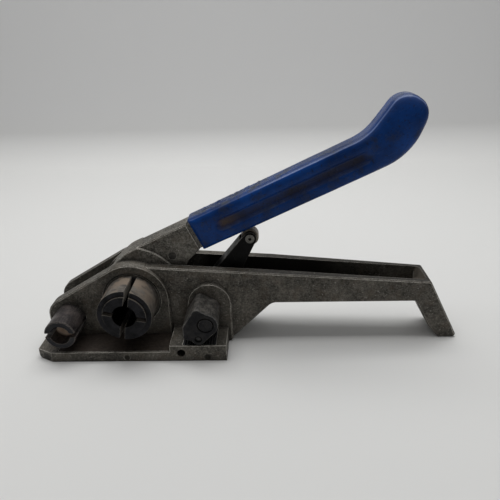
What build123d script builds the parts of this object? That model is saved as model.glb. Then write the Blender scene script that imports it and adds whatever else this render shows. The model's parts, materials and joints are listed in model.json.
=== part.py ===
"""Hand strapping tensioner: a slotted windlass turned by a ratchet handle,
a serrated gripper cam with its release lever, and a cast frame with a tail foot.

Row frame: +X towards the tail foot and the handle's end, -Y towards the open
ledge that takes the strap, +Z up. The origin lies on the sole, straight below
the windlass axis and midway between the frame's two side walls.
"""
from build123d import *
import os
from math import acos, atan2, cos, degrees, hypot, radians, sin

os.makedirs("parts", exist_ok=True)

# ---------------------------------------------------------------- clearances
RUN = 0.05              # radial clearance of a running fit
SEAT = 0.02             # radial clearance of a pressed or keyed fit
SIDE = 0.3              # side clearance between faces that slide past each other

# ---------------------------------------------------------------- frame casting
CHANNEL = 23.0          # width between the two side walls
WALL = 7.5              # thickness of a side wall at the mechanism
TAIL_WALL = 4.2         # thickness of a rail at its tail end
BOSS_RISE = 2.8         # how far the raised nose and gripper bosses stand out
LEDGE = 26.0            # depth of the open strap ledge in front of the bosses
BASE_T = 8.3            # thickness of the base plate
BASE_RIGHT = 75.5       # right end of the base plate
BASE_LEFT = -73.6       # left end of the base plate
NOSE_CHAMFER_X = 12.0   # plan chamfer of the front left corner, along X
NOSE_CHAMFER_Y = 6.0    # the same, along Y
TOE_R = 3.5             # rounding of the base's left end above the sole
BLOCK_LEFT = 31.5       # left end of the raised gripper block
BLOCK_RISE = 5.5        # height of the block above the base plate
NOSE_SET = 4.3          # the side walls start this far behind the base's left end
NOSE_X = BASE_LEFT + NOSE_SET
NOSE_R = 14.0           # rounding of the walls' nose
NOSE_RUN = 11.6         # from there to the start of the nose's sloped top edge
NOSE_SLOPE_X = NOSE_X + NOSE_RUN
NOSE_SLOPE_Z = 41.2
HUB_R = 29.6            # round head of the walls about the windlass
RAIL_TOP_HUB = 68.0     # height of the rails' top edge above the windlass
RAIL_TOP_TAIL = 51.0    # height of the rails' top edge at the tail
BEAM_Z = 34.0           # underside of the rails
BRACE_FOOT = 77.0       # where the sloped brace leaves the sole
BRACE_R = 9.0           # rounding between the brace and the rails
SKIN = 3.5              # floor of the channel under the rails
END_WEB = 2.4           # lip left at the channel's tail end
END_SWEEP_R = 11.0      # the channel's floor sweeps up to that lip
DRAW_IN = 7.0           # the far rail draws in this much by the tail
LEG_KNEE = 225.2        # inner corner between rails and leg
LEG_TOP = 10.0          # the rails run this far past the knee
LEG_RUN = 12.0          # the leg's inner edge leans out this far above the foot
LEG_HEEL_Z = 10.7
HEEL_RUN = 9.3          # from there to the flat of the foot on the floor
FOOT_L = 15.0           # length of that flat
RAIL_END = LEG_KNEE + LEG_TOP
LEG_HEEL_X = LEG_KNEE + LEG_RUN
FOOT_INNER = LEG_HEEL_X + HEEL_RUN
FOOT_OUTER = FOOT_INNER + FOOT_L
EDGE = 0.9              # worn bevel of the casting's outer edges

# ---------------------------------------------------------------- windlass
AXIS_Z = 40.5           # height of the windlass axis above the sole
DRUM_R = 20.75
DRUM_BORE_R = 9.0
DRUM_SLOT = 3.6         # strap slot right through the drum
SLOT_TILT = 12.0        # slot leans this far from upright, degrees
SLOT_MOUTH = 1.0        # the slot's long edges are broken by this much
NOTCH_W = 3.4           # cross notches in the end face
NOTCH_DEPTH = 5.0
RIM_W = 4.2             # stepped rim round the end face
RIM_STEP = 1.3
LIP_W = 1.2             # lip of the casting round the drum
LIP_SINK = 0.7          # it stands this far below the boss
MOAT_W = 1.1            # groove cut outside that lip
MOAT_DEPTH = 2.0
SHAFT_R = 12.0          # windlass shaft through handle, ratchet and far wall
CLIP_T = 1.5
CLIP_W = 2.6            # radial width of the retaining rings
CLIP_GROOVE = 0.9       # depth of their grooves
CLIP_GAP = 5.0          # opening of the rings
FAR_BOSS_RISE = 2.4
FAR_BOSS_W = 9.0        # width of the far boss round the shaft

# ---------------------------------------------------------------- ratchet
TEETH = 24
RATCHET_R = 24.0
TOOTH_DEPTH = 3.2
RATCHET_W = 11.4
KEY_W = 6.0
KEY_SINK = 3.4          # depth of the key in the shaft
KEY_RISE = 2.6          # height of the key in the ratchet
FACE_ANGLE = -18.0      # a tooth's driving face stands at this angle, degrees

# ---------------------------------------------------------------- handle
HANDLE_ANGLE = 25.0     # slope of the handle at rest, degrees
YOKE_R = 28.5           # round end of the yoke's cheeks
YOKE_THICK_R = 40.0     # the cheeks are thicker inside this radius
YOKE_W = 18.0           # width of the yoke outside that radius
YOKE_TOP = 33.3         # top edge above the windlass axis, across the handle
YOKE_TOP_START = 12.0   # where that top edge begins, along the handle
YOKE_NECK = 66.0        # where the cheeks end and the tang begins
YOKE_UNDER = 10.4       # underside at the neck
YOKE_WEB = 6.3          # thickness of the web that joins the cheeks
YOKE_WEB_START = -4.0
PAWL_BAY_END = 51.0     # end of the hollow between the cheeks
PAWL_BAY_R = 4.0
YOKE_SWEEP_R = 20.0     # sweep of the cheeks' top edge into their round end
YOKE_CHIN_R = 6.0       # the same, at the underside
GRIP_START = 67.2       # the sleeve, along the handle
GRIP_LOW = 7.6          # its underside and top, across the handle
GRIP_HIGH = 35.5
GRIP_W = 21.4
GRIP_WALL = 3.0
GRIP_R = 5.5            # rounding of its long edges
GRIP_HEEL = 237.5       # outline of the upturned end
GRIP_TIP_U = 263.8
GRIP_TIP_V = 33.0
GRIP_CROWN_U = 248.8
GRIP_CROWN_V = 55.3
GRIP_BEND = 214.5
GRIP_HEEL_R = 45.0
GRIP_TIP_R = 14.0
GRIP_BEND_R = 38.0
GROOVE_START = 91.0     # finger groove in each side of the sleeve
GROOVE_END = 208.0
GROOVE_W = 9.5
GROOVE_DEPTH = 2.2

# ---------------------------------------------------------------- pawls
PAWL_W = 11.0
DRIVE_PIVOT_X = 33.0    # drive pawl's pin in the handle
DRIVE_PIVOT_Z = 72.2
DRIVE_PIN_R = 3.3
HOLD_PIVOT_X = 37.5     # holding pawl's pin in the frame
HOLD_PIVOT_Z = 20.0
HOLD_PIN_R = 3.5
HOLD_STEPS = 5          # teeth between the two pawls' places
PAWL_EYE_WALL = 2.8
NOSE_HEIGHT = 5.4       # height of a pawl's nose face
NOSE_GAP = 0.15         # backlash between nose and tooth
TIP_GAP = 0.35          # clearance over the teeth's roots and tips
PIN_GRIP = 3.5          # blind depth of the holding pawl's pin in the near wall
HUB_WALL = 2.0          # wall of the holding pawl's hub
WIRE_R = 0.6
LEVER_WIRE_R = 0.75     # heavier wire of the gripper's spring
LEG_SLIM = 0.85         # a leg's wire is drawn a little thinner than the coil's
COIL_GAP = 0.15
FLOOR_REACH = 8.0       # the holding pawl's spring stands this far behind its pin
WEB_REACH = 30.0        # the drive pawl's spring bears on the web this far along the handle
HOOK_REACH = 18.0       # the lever's spring hooks it this far from the shaft
SHAFT_FLOOR = 4.4       # and stands on the base this far ahead of it
SEAT_Y = 1.5            # a pawl's eye is cut back to here for its spring

# ---------------------------------------------------------------- gripper
GRIP_SHAFT_X = 60.4     # gripper shaft
GRIP_SHAFT_Z = 31.9
GRIP_SHAFT_R = 5.65
ARCH_X = 61.3           # arched boss round the gripper
ARCH_Z = 35.5
ARCH_R = 17.6
CAM_GAP = 0.5           # cam's rear face to the boss
CAM_BACK_R = 9.7        # the cam's round back; the rest is placed from the shaft's centre
CAM_HEEL = (-6.0, 9.6)
CAM_HEEL_R = 4.0
CAM_TOE = (-6.1, -12.4)
CAM_TOE_R = 5.1
CAM_FRONT = -17.5       # the cam's upright front edge
CAM_FRONT_LOW = -11.6
CAM_FRONT_HIGH = -1.5
CAM_LOW_R = 1.6
CAM_HIGH_R = 4.0
NICK_W = 0.8            # serrations round the toe
NICK_STEP = 16.0
NICKS = 7
CAM_PIN_R = 2.1
LEVER_HUB_R = 12.5
LEVER_END_R = 5.2
LEVER_W = 14.0
LEVER_PLATE = 2.5
LEVER_SLEEVE_R = 9.0
ROLLER_R = 6.9
ROLLER_U = 104.4        # where the handle rests on the roller, along the handle
AXLE_R = 2.5
AXLE_HEAD_R = 3.5
AXLE_HEAD = 1.1
AXLE_BORE_R = 1.4
ROLL_PIN_R = 2.0

# ---------------------------------------------------------------- wear parts
TUBE_SET = 18.0         # slotted guide tube, behind the walls' front edge
TUBE_X = NOSE_X + TUBE_SET
TUBE_Z = 24.7
TUBE_R = 12.0
TUBE_BORE_R = 7.75
TUBE_SLOT = 3.8
WEAR_T = 1.5
WEAR_LIP = 1.8          # rim of casting left in front of the wear plate
PLATE_LEFT = 41.7       # serrated gripper plate in the block
PLATE_RIGHT = 67.4
PLATE_T = 3.2
PLATE_LIP = 1.2
TOOTH_PITCH = 2.1
SERRATION = 0.8
PLUG_R = 2.3
PLUG_L = 12.0
PLUG_Z = 3.4
PLUG_X = (-2.3, 60.7)
SIDE_HOLE_R = 3.2
SIDE_HOLE_X = 40.3
SIDE_HOLE_Z = 7.3
SIDE_HOLE_L = 18.0

# ---------------------------------------------------------------- derived planes
IN_Y = CHANNEL / 2                    # inner faces of the walls at -IN_Y and +IN_Y
OUT_Y = IN_Y + WALL                   # outer faces of the walls
BOSS_Y = -(OUT_Y + BOSS_RISE)         # face of the raised bosses
FRONT_Y = BOSS_Y - LEDGE              # front edge of the ledge
FAR_Y = OUT_Y + FAR_BOSS_RISE         # face of the far boss
BLOCK_Z = BASE_T + BLOCK_RISE
CHEEK_OUT = IN_Y - SIDE               # outer face of a cheek's thick part
CHEEK_IN = RATCHET_W / 2 + SIDE       # inner face of a cheek
ROOT_R = RATCHET_R - TOOTH_DEPTH
PITCH = 360 / TEETH
ROLLER_V = GRIP_LOW - SIDE - ROLLER_R
SPAN = 3 * RAIL_END                   # clears the whole tool each way
HANDLE = Plane.XZ * Pos(0, AXIS_Z) * Rot(0, 0, HANDLE_ANGLE)
SIDE_VIEW = Plane.XZ


# ---------------------------------------------------------------- helpers
def slab(face, y_lo, y_hi):
    """A side-view face made solid between two planes across the tool."""
    return Pos(0, y_lo, 0) * extrude(face, amount=y_hi - y_lo, dir=(0, 1, 0))


def disc(x, z, r, y_lo, y_hi):
    return slab(SIDE_VIEW * Pos(x, z) * Circle(r), y_lo, y_hi)


def ring(x, z, r_out, r_in, y_lo, y_hi):
    return disc(x, z, r_out, y_lo, y_hi) - disc(x, z, r_in, y_lo - 1, y_hi + 1)


def zone(x_lo, x_hi, y_lo, y_hi, z_lo, z_hi):
    """A block of space between two planes each way."""
    size = Box(x_hi - x_lo, y_hi - y_lo, z_hi - z_lo, align=(Align.MIN, Align.MIN, Align.MIN))
    return Pos(x_lo, y_lo, z_lo) * size


def bevelled(body, faces, size):
    """Bevel every edge round the given faces."""
    return chamfer([e for f in faces for e in f.edges()], length=size)


def polygon(points):
    return make_face(Polyline(*points, close=True))


def rounded(sketch, corners):
    """Round chosen corners of a flat outline: (x, y, radius) each."""
    for x, y, r in corners:
        vertex = sketch.vertices().sort_by_distance((x, y))[0]
        sketch = fillet(vertex, radius=r)
    return sketch


def tangent_point(x, z, cx, cz, r, side):
    """Where the tangent from (x, z) touches a circle; side is +1 or -1."""
    away = hypot(x - cx, z - cz)
    angle = atan2(z - cz, x - cx) + side * acos(r / away)
    return cx + r * cos(angle), cz + r * sin(angle)


def link(x0, z0, r0, x1, z1, r1):
    """Flat outline of two round ends joined by their outer tangents."""
    length = hypot(x1 - x0, z1 - z0)
    lean = degrees(acos((r0 - r1) / length))
    base = degrees(atan2(z1 - z0, x1 - x0))
    corners = []
    for x, z, r, side in ((x0, z0, r0, 1), (x1, z1, r1, 1), (x1, z1, r1, -1), (x0, z0, r0, -1)):
        a = radians(base + side * lean)
        corners.append((x + r * cos(a), z + r * sin(a)))
    return polygon(corners) + Pos(x0, z0) * Circle(r0) + Pos(x1, z1) * Circle(r1)


def turned(r, angle, cx=0.0, cz=0.0):
    """The point at a radius and an angle in degrees about a centre."""
    return cx + r * cos(radians(angle)), cz + r * sin(radians(angle))


def from_handle(u, v):
    """Side-view point given along and across the handle from the windlass axis."""
    a = radians(HANDLE_ANGLE)
    return u * cos(a) - v * sin(a), AXIS_Z + u * sin(a) + v * cos(a)


ROLLER_X, ROLLER_Z = from_handle(ROLLER_U, ROLLER_V)


# ---------------------------------------------------------------- frame casting
def wall_outline():
    """Side view shared by both walls, the rails and the tail leg."""
    slope = tangent_point(NOSE_SLOPE_X, NOSE_SLOPE_Z, 0, AXIS_Z, HUB_R, -1)
    rise = (slope[1] - NOSE_SLOPE_Z) / (slope[0] - NOSE_SLOPE_X)
    nose_z = NOSE_SLOPE_Z - rise * (NOSE_SLOPE_X - NOSE_X)
    brace_top = BRACE_FOOT + BEAM_Z
    points = [
        (NOSE_X, 0), (NOSE_X, nose_z), slope, (0, AXIS_Z), (0, RAIL_TOP_HUB),
        (RAIL_END, RAIL_TOP_TAIL), (FOOT_OUTER, 0), (FOOT_INNER, 0),
        (LEG_HEEL_X, LEG_HEEL_Z), (LEG_KNEE, BEAM_Z), (brace_top, BEAM_Z), (BRACE_FOOT, 0),
    ]
    outline = rounded(polygon(points), [
        (NOSE_X, nose_z, NOSE_R), (brace_top, BEAM_Z, BRACE_R), (LEG_KNEE, BEAM_Z, 3.0),
        (RAIL_END, RAIL_TOP_TAIL, 2.5), (FOOT_OUTER, 0, 2.5), (FOOT_INNER, 0, 1.5),
        (LEG_HEEL_X, LEG_HEEL_Z, 8.0),
    ])
    return outline + Pos(0, AXIS_Z) * Circle(HUB_R)


def boss_outline():
    """Raised part of the near wall: everything ahead of the windlass hub's back edge."""
    ahead = Pos(NOSE_X, 0) * Rectangle(-NOSE_X, 2 * AXIS_Z, align=(Align.MIN, Align.MIN))
    below = Rectangle(HUB_R, AXIS_Z, align=(Align.MIN, Align.MIN))
    return wall_outline() & (ahead + below + Pos(0, AXIS_Z) * Circle(HUB_R))


def arch_outline():
    """Raised arch round the gripper shaft, carried down to the sole."""
    foot = Pos(ARCH_X, 0) * Rectangle(2 * ARCH_R, ARCH_Z, align=(Align.CENTER, Align.MIN))
    return wall_outline() & (foot + Pos(ARCH_X, ARCH_Z) * Circle(ARCH_R))


def far_draw(x):
    """How far the far rail's outer face has drawn in at this distance along the tool."""
    start = BRACE_FOOT + BEAM_Z
    return DRAW_IN * max(0.0, (x - start) / (RAIL_END - start))


def channel_cut():
    """The open trough between the walls, thinning the rails and sweeping up at the tail."""
    skin_back = SKIN * 2 ** 0.5 * 1.4
    end = RAIL_END - END_WEB
    floor = polygon([
        (2 * NOSE_X, BASE_T), (BRACE_FOOT - skin_back + BASE_T, BASE_T),
        (BRACE_FOOT - skin_back + BEAM_Z + SKIN, BEAM_Z + SKIN), (end, BEAM_Z + SKIN),
        (end, 3 * AXIS_Z), (2 * NOSE_X, 3 * AXIS_Z),
    ])
    floor = rounded(floor, [(end, BEAM_Z + SKIN, END_SWEEP_R)])
    taper_start = BRACE_FOOT + BEAM_Z
    near_half = OUT_Y - TAIL_WALL
    far_half = OUT_Y - TAIL_WALL - far_draw(end)
    plan = rounded(polygon([
        (2 * NOSE_X, -IN_Y), (taper_start, -IN_Y), (end, -near_half), (end, far_half),
        (taper_start, IN_Y), (2 * NOSE_X, IN_Y),
    ]), [(end, -near_half, 4.0), (end, far_half, 4.0)])
    return slab(SIDE_VIEW * floor, -OUT_Y, OUT_Y) & extrude(plan, amount=4 * AXIS_Z)


def far_wedge():
    """What the far side of the rails and leg loses by drawing in."""
    start = BRACE_FOOT + BEAM_Z
    plan = polygon([
        (start, OUT_Y), (FOOT_OUTER + 1, OUT_Y - far_draw(FOOT_OUTER + 1)),
        (FOOT_OUTER + 1, 2 * OUT_Y), (start, 2 * OUT_Y)])
    return Pos(0, 0, -1) * extrude(plan, amount=4 * AXIS_Z)


def base_plate():
    """Base with its open ledge, the chamfered nose corner and the gripper block."""
    plan = polygon([
        (BASE_LEFT + NOSE_CHAMFER_X, FRONT_Y), (BASE_RIGHT, FRONT_Y), (BASE_RIGHT, OUT_Y),
        (BASE_LEFT, OUT_Y), (BASE_LEFT, FRONT_Y + NOSE_CHAMFER_Y),
    ])
    plate = extrude(plan, amount=BASE_T)
    plate = fillet(plate.faces().sort_by(Axis.Z)[0].edges().sort_by(Axis.X)[0], radius=TOE_R)
    block = Pos(BLOCK_LEFT, FRONT_Y, 0) * Box(
        BASE_RIGHT - BLOCK_LEFT, LEDGE + BOSS_RISE, BLOCK_Z, align=(Align.MIN, Align.MIN, Align.MIN))
    upright = block.edges().filter_by(Axis.Z).sort_by(Axis.Y)[0:2]
    return plate + fillet(upright.sort_by(Axis.X)[-1], radius=0.6)


def frame_casting():
    """The whole casting in one: base, walls, rails and tail leg, with every bore."""
    body = slab(SIDE_VIEW * wall_outline(), -OUT_Y, OUT_Y) - far_wedge()
    crease = BRACE_FOOT + BEAM_Z
    sides = [f for f in body.faces() if abs(f.normal_at().Y) > 0.9]
    rims = [e for f in sides for e in f.edges() if abs(e.center().X - crease) > 1]
    body = chamfer(rims, length=EDGE) - channel_cut()
    boss = slab(SIDE_VIEW * boss_outline(), BOSS_Y, -IN_Y - 2)
    boss = bevelled(boss, boss.faces().sort_by(Axis.Y)[:1], EDGE)
    arch = slab(SIDE_VIEW * arch_outline(), BOSS_Y, -IN_Y - 2)
    arch = bevelled(arch, arch.faces().sort_by(Axis.Y)[:1], EDGE)
    far_boss = disc(0, AXIS_Z, SHAFT_R + FAR_BOSS_W, IN_Y + 2, FAR_Y)
    far_boss = bevelled(far_boss, far_boss.faces().sort_by(Axis.Y)[-1:], EDGE)
    body = body + boss + arch + far_boss + base_plate()

    body -= disc(0, AXIS_Z, DRUM_R + RUN, FRONT_Y, -IN_Y + 1)
    moat_r = DRUM_R + LIP_W + MOAT_W
    body -= disc(0, AXIS_Z, moat_r, BOSS_Y - LEDGE, BOSS_Y + LIP_SINK)
    body -= ring(0, AXIS_Z, moat_r, DRUM_R + LIP_W, BOSS_Y, BOSS_Y + MOAT_DEPTH)
    body -= disc(0, AXIS_Z, SHAFT_R + RUN, IN_Y - 1, FAR_Y + 1)
    body -= disc(TUBE_X, TUBE_Z, TUBE_R + SEAT, BOSS_Y - LEDGE, -IN_Y + 1) & above_ledge()
    body -= disc(GRIP_SHAFT_X, GRIP_SHAFT_Z, GRIP_SHAFT_R + RUN, BOSS_Y - 1, OUT_Y + 1)
    body -= disc(HOLD_PIVOT_X, HOLD_PIVOT_Z, HOLD_PIN_R + SEAT, -IN_Y - PIN_GRIP, OUT_Y + 1)
    body -= wear_pocket() + plate_pocket()
    for x, y, turn in plug_places():
        body -= plug_at(x, y, turn, PLUG_R + SEAT, PLUG_L + 0.5)
    body -= disc(SIDE_HOLE_X, SIDE_HOLE_Z, SIDE_HOLE_R, FRONT_Y - 1, FRONT_Y + SIDE_HOLE_L)
    return body


def above_ledge():
    """Room above the ledge's surface, so that bores in the wall leave the ledge whole."""
    return zone(-SPAN, SPAN, -SPAN, SPAN, BASE_T, SPAN)


def casting_parts():
    """The casting by its members: base with ledge and block, two walls, rails, tail foot."""
    whole = frame_casting()
    head = zone(-SPAN, BASE_RIGHT, -SPAN, SPAN, -1, SPAN)
    front = zone(-SPAN, BASE_RIGHT, -SPAN, BOSS_Y, -1, SPAN)
    low = zone(-SPAN, BASE_RIGHT, -SPAN, SPAN, -1, BASE_T)
    near = zone(-SPAN, BASE_RIGHT, BOSS_Y, 0, BASE_T, SPAN)
    return {
        "frame_base": whole & (front + low),
        "near_wall": whole & near,
        "far_wall": whole & (head - front - low - near),
        "tail_rails": whole & zone(BASE_RIGHT, LEG_KNEE, -SPAN, SPAN, -1, SPAN),
        "tail_foot": whole & zone(LEG_KNEE, SPAN, -SPAN, SPAN, -1, SPAN),
    }


def wear_outline(inset):
    """Plan of the wear plate: it follows the chamfered corner of the ledge."""
    left = BASE_LEFT + NOSE_CHAMFER_X + 3 * WEAR_LIP + inset
    right = BLOCK_LEFT - inset
    front = FRONT_Y + WEAR_LIP + inset
    return polygon([
        (left, front), (right, front), (right, BOSS_Y - inset), (left - WEAR_LIP, BOSS_Y - inset)])


def wear_pocket():
    return Pos(0, 0, BASE_T - WEAR_T) * extrude(wear_outline(0), amount=WEAR_T + 1)


def plate_pocket():
    return Pos(PLATE_LEFT, FRONT_Y + PLATE_LIP, BLOCK_Z - PLATE_T) * Box(
        PLATE_RIGHT - PLATE_LEFT, LEDGE - PLATE_LIP, PLATE_T + 1,
        align=(Align.MIN, Align.MIN, Align.MIN))


def plug_places():
    """Middle of each plug's face on the base's edge, and the way it faces in plan."""
    lean = degrees(atan2(NOSE_CHAMFER_Y, NOSE_CHAMFER_X))
    corner = (BASE_LEFT + 0.7 * NOSE_CHAMFER_X, FRONT_Y + 0.3 * NOSE_CHAMFER_Y, -lean)
    return [corner] + [(x, FRONT_Y, 0) for x in PLUG_X]


def plug_at(x, y, turn, r, length):
    plug = Rot(-90, 0, 0) * Cylinder(r, length, align=(Align.CENTER, Align.CENTER, Align.MIN))
    return Pos(x, y, PLUG_Z) * Rot(0, 0, turn) * plug


# ---------------------------------------------------------------- wear parts
def wear_plate():
    plate = extrude(wear_outline(SEAT), amount=WEAR_T - 0.2)
    return Pos(0, 0, BASE_T - WEAR_T) * plate


def gripper_plate():
    """Hardened plate in the block, with teeth across the strap."""
    length = PLATE_RIGHT - PLATE_LEFT - 2 * SEAT
    depth = LEDGE - PLATE_LIP - 2 * SEAT
    plate = Box(length, depth, PLATE_T, align=(Align.MIN, Align.MIN, Align.MIN))
    count = int((length - 1.0) / TOOTH_PITCH)
    first = (length - (count - 1) * TOOTH_PITCH) / 2
    valley = make_face(Polyline((-SERRATION, 0.01), (SERRATION, 0.01), (0, -SERRATION), close=True))
    cut = extrude(Plane.XZ * valley, amount=2 * depth, both=True)
    for i in range(count):
        plate -= Pos(first + i * TOOTH_PITCH, 0, PLATE_T) * cut
    return Pos(PLATE_LEFT + SEAT, FRONT_Y + PLATE_LIP + SEAT, BLOCK_Z - PLATE_T) * plate


def base_plugs():
    """Pressed plugs that close the cross-drilled holes in the base's front edge."""
    return [plug_at(x, y, turn, PLUG_R, PLUG_L) for x, y, turn in plug_places()]


def guide_tube():
    """Slotted tube pressed in the near wall, which leads the strap in at the nose."""
    tube = ring(TUBE_X, TUBE_Z, TUBE_R, TUBE_BORE_R, FRONT_Y - 0.5, -IN_Y)
    tube = chamfer(tube.faces().sort_by(Axis.Y)[0].edges().sort_by(SortBy.LENGTH)[-1], length=0.6)
    slot = Pos(TUBE_X, BOSS_Y - LEDGE, TUBE_Z) * Box(
        3 * TUBE_R, 2 * LEDGE, TUBE_SLOT, align=(Align.CENTER, Align.CENTER, Align.CENTER))
    return tube - slot


# ---------------------------------------------------------------- windlass
def windlass_drum():
    """Drum and shaft turned from one bar, split by the strap slot."""
    drum = disc(0, AXIS_Z, DRUM_R, FRONT_Y, -IN_Y)
    drum = bevelled(drum, drum.faces().sort_by(Axis.Y)[:1], 0.8)
    step = ring(0, AXIS_Z, DRUM_R + 1, DRUM_R - RIM_W, FRONT_Y - 1, FRONT_Y + RIM_STEP)
    groove_y = FAR_Y + SIDE
    shaft = disc(0, AXIS_Z, SHAFT_R, -IN_Y - 1, groove_y + 2.5 * CLIP_T)
    groove = ring(0, AXIS_Z, SHAFT_R + 1, SHAFT_R - CLIP_GROOVE, groove_y, groove_y + CLIP_T)
    keyway = Pos(0, 0, AXIS_Z + SHAFT_R - KEY_SINK) * Box(
        KEY_W, RATCHET_W, 2 * KEY_SINK, align=(Align.CENTER, Align.CENTER, Align.MIN))
    slot_end = BOSS_Y - 0.2
    leaning = Pos(0, 0, AXIS_Z) * Rot(0, SLOT_TILT, 0)
    middle = (FRONT_Y - 1 + slot_end) / 2
    length = slot_end - FRONT_Y + 1
    slot = leaning * Pos(0, middle, 0) * Box(DRUM_SLOT, length, 3 * DRUM_R)
    for side in (-1, 1):
        width = DRUM_SLOT / 2 ** 0.5 + SLOT_MOUTH
        mouth = Rot(0, 45, 0) * Box(width, length, width)
        slot += leaning * Pos(0, middle, side * DRUM_R) * mouth
    notches = leaning * Pos(0, FRONT_Y, 0) * Box(
        2 * (DRUM_R - RIM_W), 2 * NOTCH_DEPTH, NOTCH_W)
    body = drum - step + shaft - groove - keyway - slot - notches
    return body - disc(0, AXIS_Z, DRUM_BORE_R, FRONT_Y - 1, slot_end)


def ratchet_outline():
    """Saw teeth: each driving face is radial and looks anticlockwise."""
    points = []
    for k in range(TEETH):
        face = FACE_ANGLE + k * PITCH
        points += [turned(RATCHET_R, face), turned(ROOT_R, face)]
    return polygon(points)


def ratchet_wheel():
    wheel = slab(SIDE_VIEW * Pos(0, AXIS_Z) * ratchet_outline(), -RATCHET_W / 2, RATCHET_W / 2)
    wheel -= disc(0, AXIS_Z, SHAFT_R + SEAT, -RATCHET_W, RATCHET_W)
    return wheel - Pos(0, 0, AXIS_Z + SHAFT_R - KEY_SINK) * Box(
        KEY_W + 2 * SEAT, 2 * RATCHET_W, KEY_SINK + KEY_RISE + SEAT,
        align=(Align.CENTER, Align.CENTER, Align.MIN))


def ratchet_key():
    return Pos(0, 0, AXIS_Z + SHAFT_R - KEY_SINK) * Box(
        KEY_W, RATCHET_W, KEY_SINK + KEY_RISE, align=(Align.CENTER, Align.CENTER, Align.MIN))


def retaining_ring(x, z, shaft_r, y):
    """Open retaining ring snapped in its groove."""
    flat = Circle(shaft_r + CLIP_W - CLIP_GROOVE) - Circle(shaft_r - CLIP_GROOVE + SEAT)
    flat -= Pos(shaft_r, 0) * Rectangle(3 * CLIP_W, CLIP_GAP)
    return slab(SIDE_VIEW * Pos(x, z) * Rot(0, 0, -60) * flat, y, y + CLIP_T)


def windlass_ring():
    return retaining_ring(0, AXIS_Z, SHAFT_R, FAR_Y + SIDE)


# ---------------------------------------------------------------- handle
def cheek_outline():
    """Side view of the yoke: a round end about the windlass, swept into the neck."""
    top = tangent_point(YOKE_TOP_START, YOKE_TOP, 0, 0, YOKE_R, 1)
    bend = (YOKE_NECK - 13.0, YOKE_UNDER / 2)
    low = tangent_point(bend[0], bend[1], 0, 0, YOKE_R, -1)
    body = polygon([
        (0, 0), top, (YOKE_TOP_START, YOKE_TOP), (YOKE_NECK, YOKE_TOP), (YOKE_NECK, YOKE_UNDER),
        bend, low])
    body = rounded(body, [
        (YOKE_TOP_START, YOKE_TOP, YOKE_SWEEP_R), (bend[0], bend[1], YOKE_CHIN_R)])
    return body + Circle(YOKE_R)


def grip_outline():
    """Side view of the handle's sleeve, with its upturned end."""
    body = polygon([
        (GRIP_START, GRIP_LOW), (GRIP_HEEL, GRIP_LOW), (GRIP_TIP_U, GRIP_TIP_V),
        (GRIP_CROWN_U, GRIP_CROWN_V), (GRIP_BEND, GRIP_HIGH), (GRIP_START, GRIP_HIGH)])
    return rounded(body, [
        (GRIP_HEEL, GRIP_LOW, GRIP_HEEL_R), (GRIP_TIP_U, GRIP_TIP_V, GRIP_TIP_R),
        (GRIP_CROWN_U, GRIP_CROWN_V, GRIP_TIP_R), (GRIP_BEND, GRIP_HIGH, GRIP_BEND_R)])


def tang(clearance):
    """Bar of the handle inside the sleeve; clearance grows it to the sleeve's hollow."""
    half = GRIP_W / 2 - GRIP_WALL + clearance
    bar = slab(HANDLE * offset(grip_outline(), amount=clearance - GRIP_WALL), -half, half)
    low = GRIP_LOW + GRIP_WALL - clearance
    high = GRIP_HIGH - GRIP_WALL + clearance
    neck = Pos(YOKE_NECK - 4, low) * Rectangle(
        GRIP_START + 2 * GRIP_WALL - YOKE_NECK + 4, high - low, align=(Align.MIN, Align.MIN))
    return bar + slab(HANDLE * neck, -half, half)


def handle_yoke():
    """Cast handle: two cheeks about the ratchet, a web over it, and the tang."""
    outline = cheek_outline()
    slim = slab(HANDLE * outline, -YOKE_W / 2, YOKE_W / 2)
    slim = bevelled(slim, slim.faces().filter_by(Axis.Y), EDGE)
    thick = slab(HANDLE * (outline & Circle(YOKE_THICK_R)), -CHEEK_OUT, CHEEK_OUT)
    thick = bevelled(thick, thick.faces().filter_by(Axis.Y), 0.6)
    bay_low = -2 * YOKE_THICK_R
    bay = Pos(YOKE_WEB_START, bay_low) * Rectangle(
        PAWL_BAY_END - YOKE_WEB_START, YOKE_TOP - YOKE_WEB - bay_low, align=(Align.MIN, Align.MIN))
    bay = rounded(bay, [(PAWL_BAY_END, YOKE_TOP - YOKE_WEB, PAWL_BAY_R)])
    open_end = Pos(YOKE_WEB_START, bay_low) * Rectangle(
        2 * YOKE_THICK_R, 4 * YOKE_THICK_R, align=(Align.MAX, Align.MIN))
    body = slim + thick - slab(HANDLE * (bay + open_end), -CHEEK_IN, CHEEK_IN)
    body += tang(0)
    body -= disc(0, AXIS_Z, SHAFT_R + RUN, -IN_Y, IN_Y)
    return body - disc(DRIVE_PIVOT_X, DRIVE_PIVOT_Z, DRIVE_PIN_R + SEAT, -IN_Y, IN_Y)


def handle_grip():
    """Moulded sleeve over the tang, with a long finger groove in each side."""
    body = slab(HANDLE * grip_outline(), -GRIP_W / 2, GRIP_W / 2)
    long_edges = [e for f in body.faces().filter_by(Axis.Y) for e in f.edges()]
    body = fillet(long_edges, radius=GRIP_R)
    mid = (GRIP_LOW + GRIP_HIGH) / 2
    length = GROOVE_END - GROOVE_START + GROOVE_W
    slot = Pos((GROOVE_START + GROOVE_END) / 2, mid) * SlotOverall(length, GROOVE_W)
    for side in (-1, 1):
        face = Pos(0, side * GRIP_W / 2, 0) * HANDLE * slot
        body -= extrude(face, amount=GROOVE_DEPTH, dir=(0, -side, 0), taper=30)
    return body - tang(SEAT)


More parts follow.
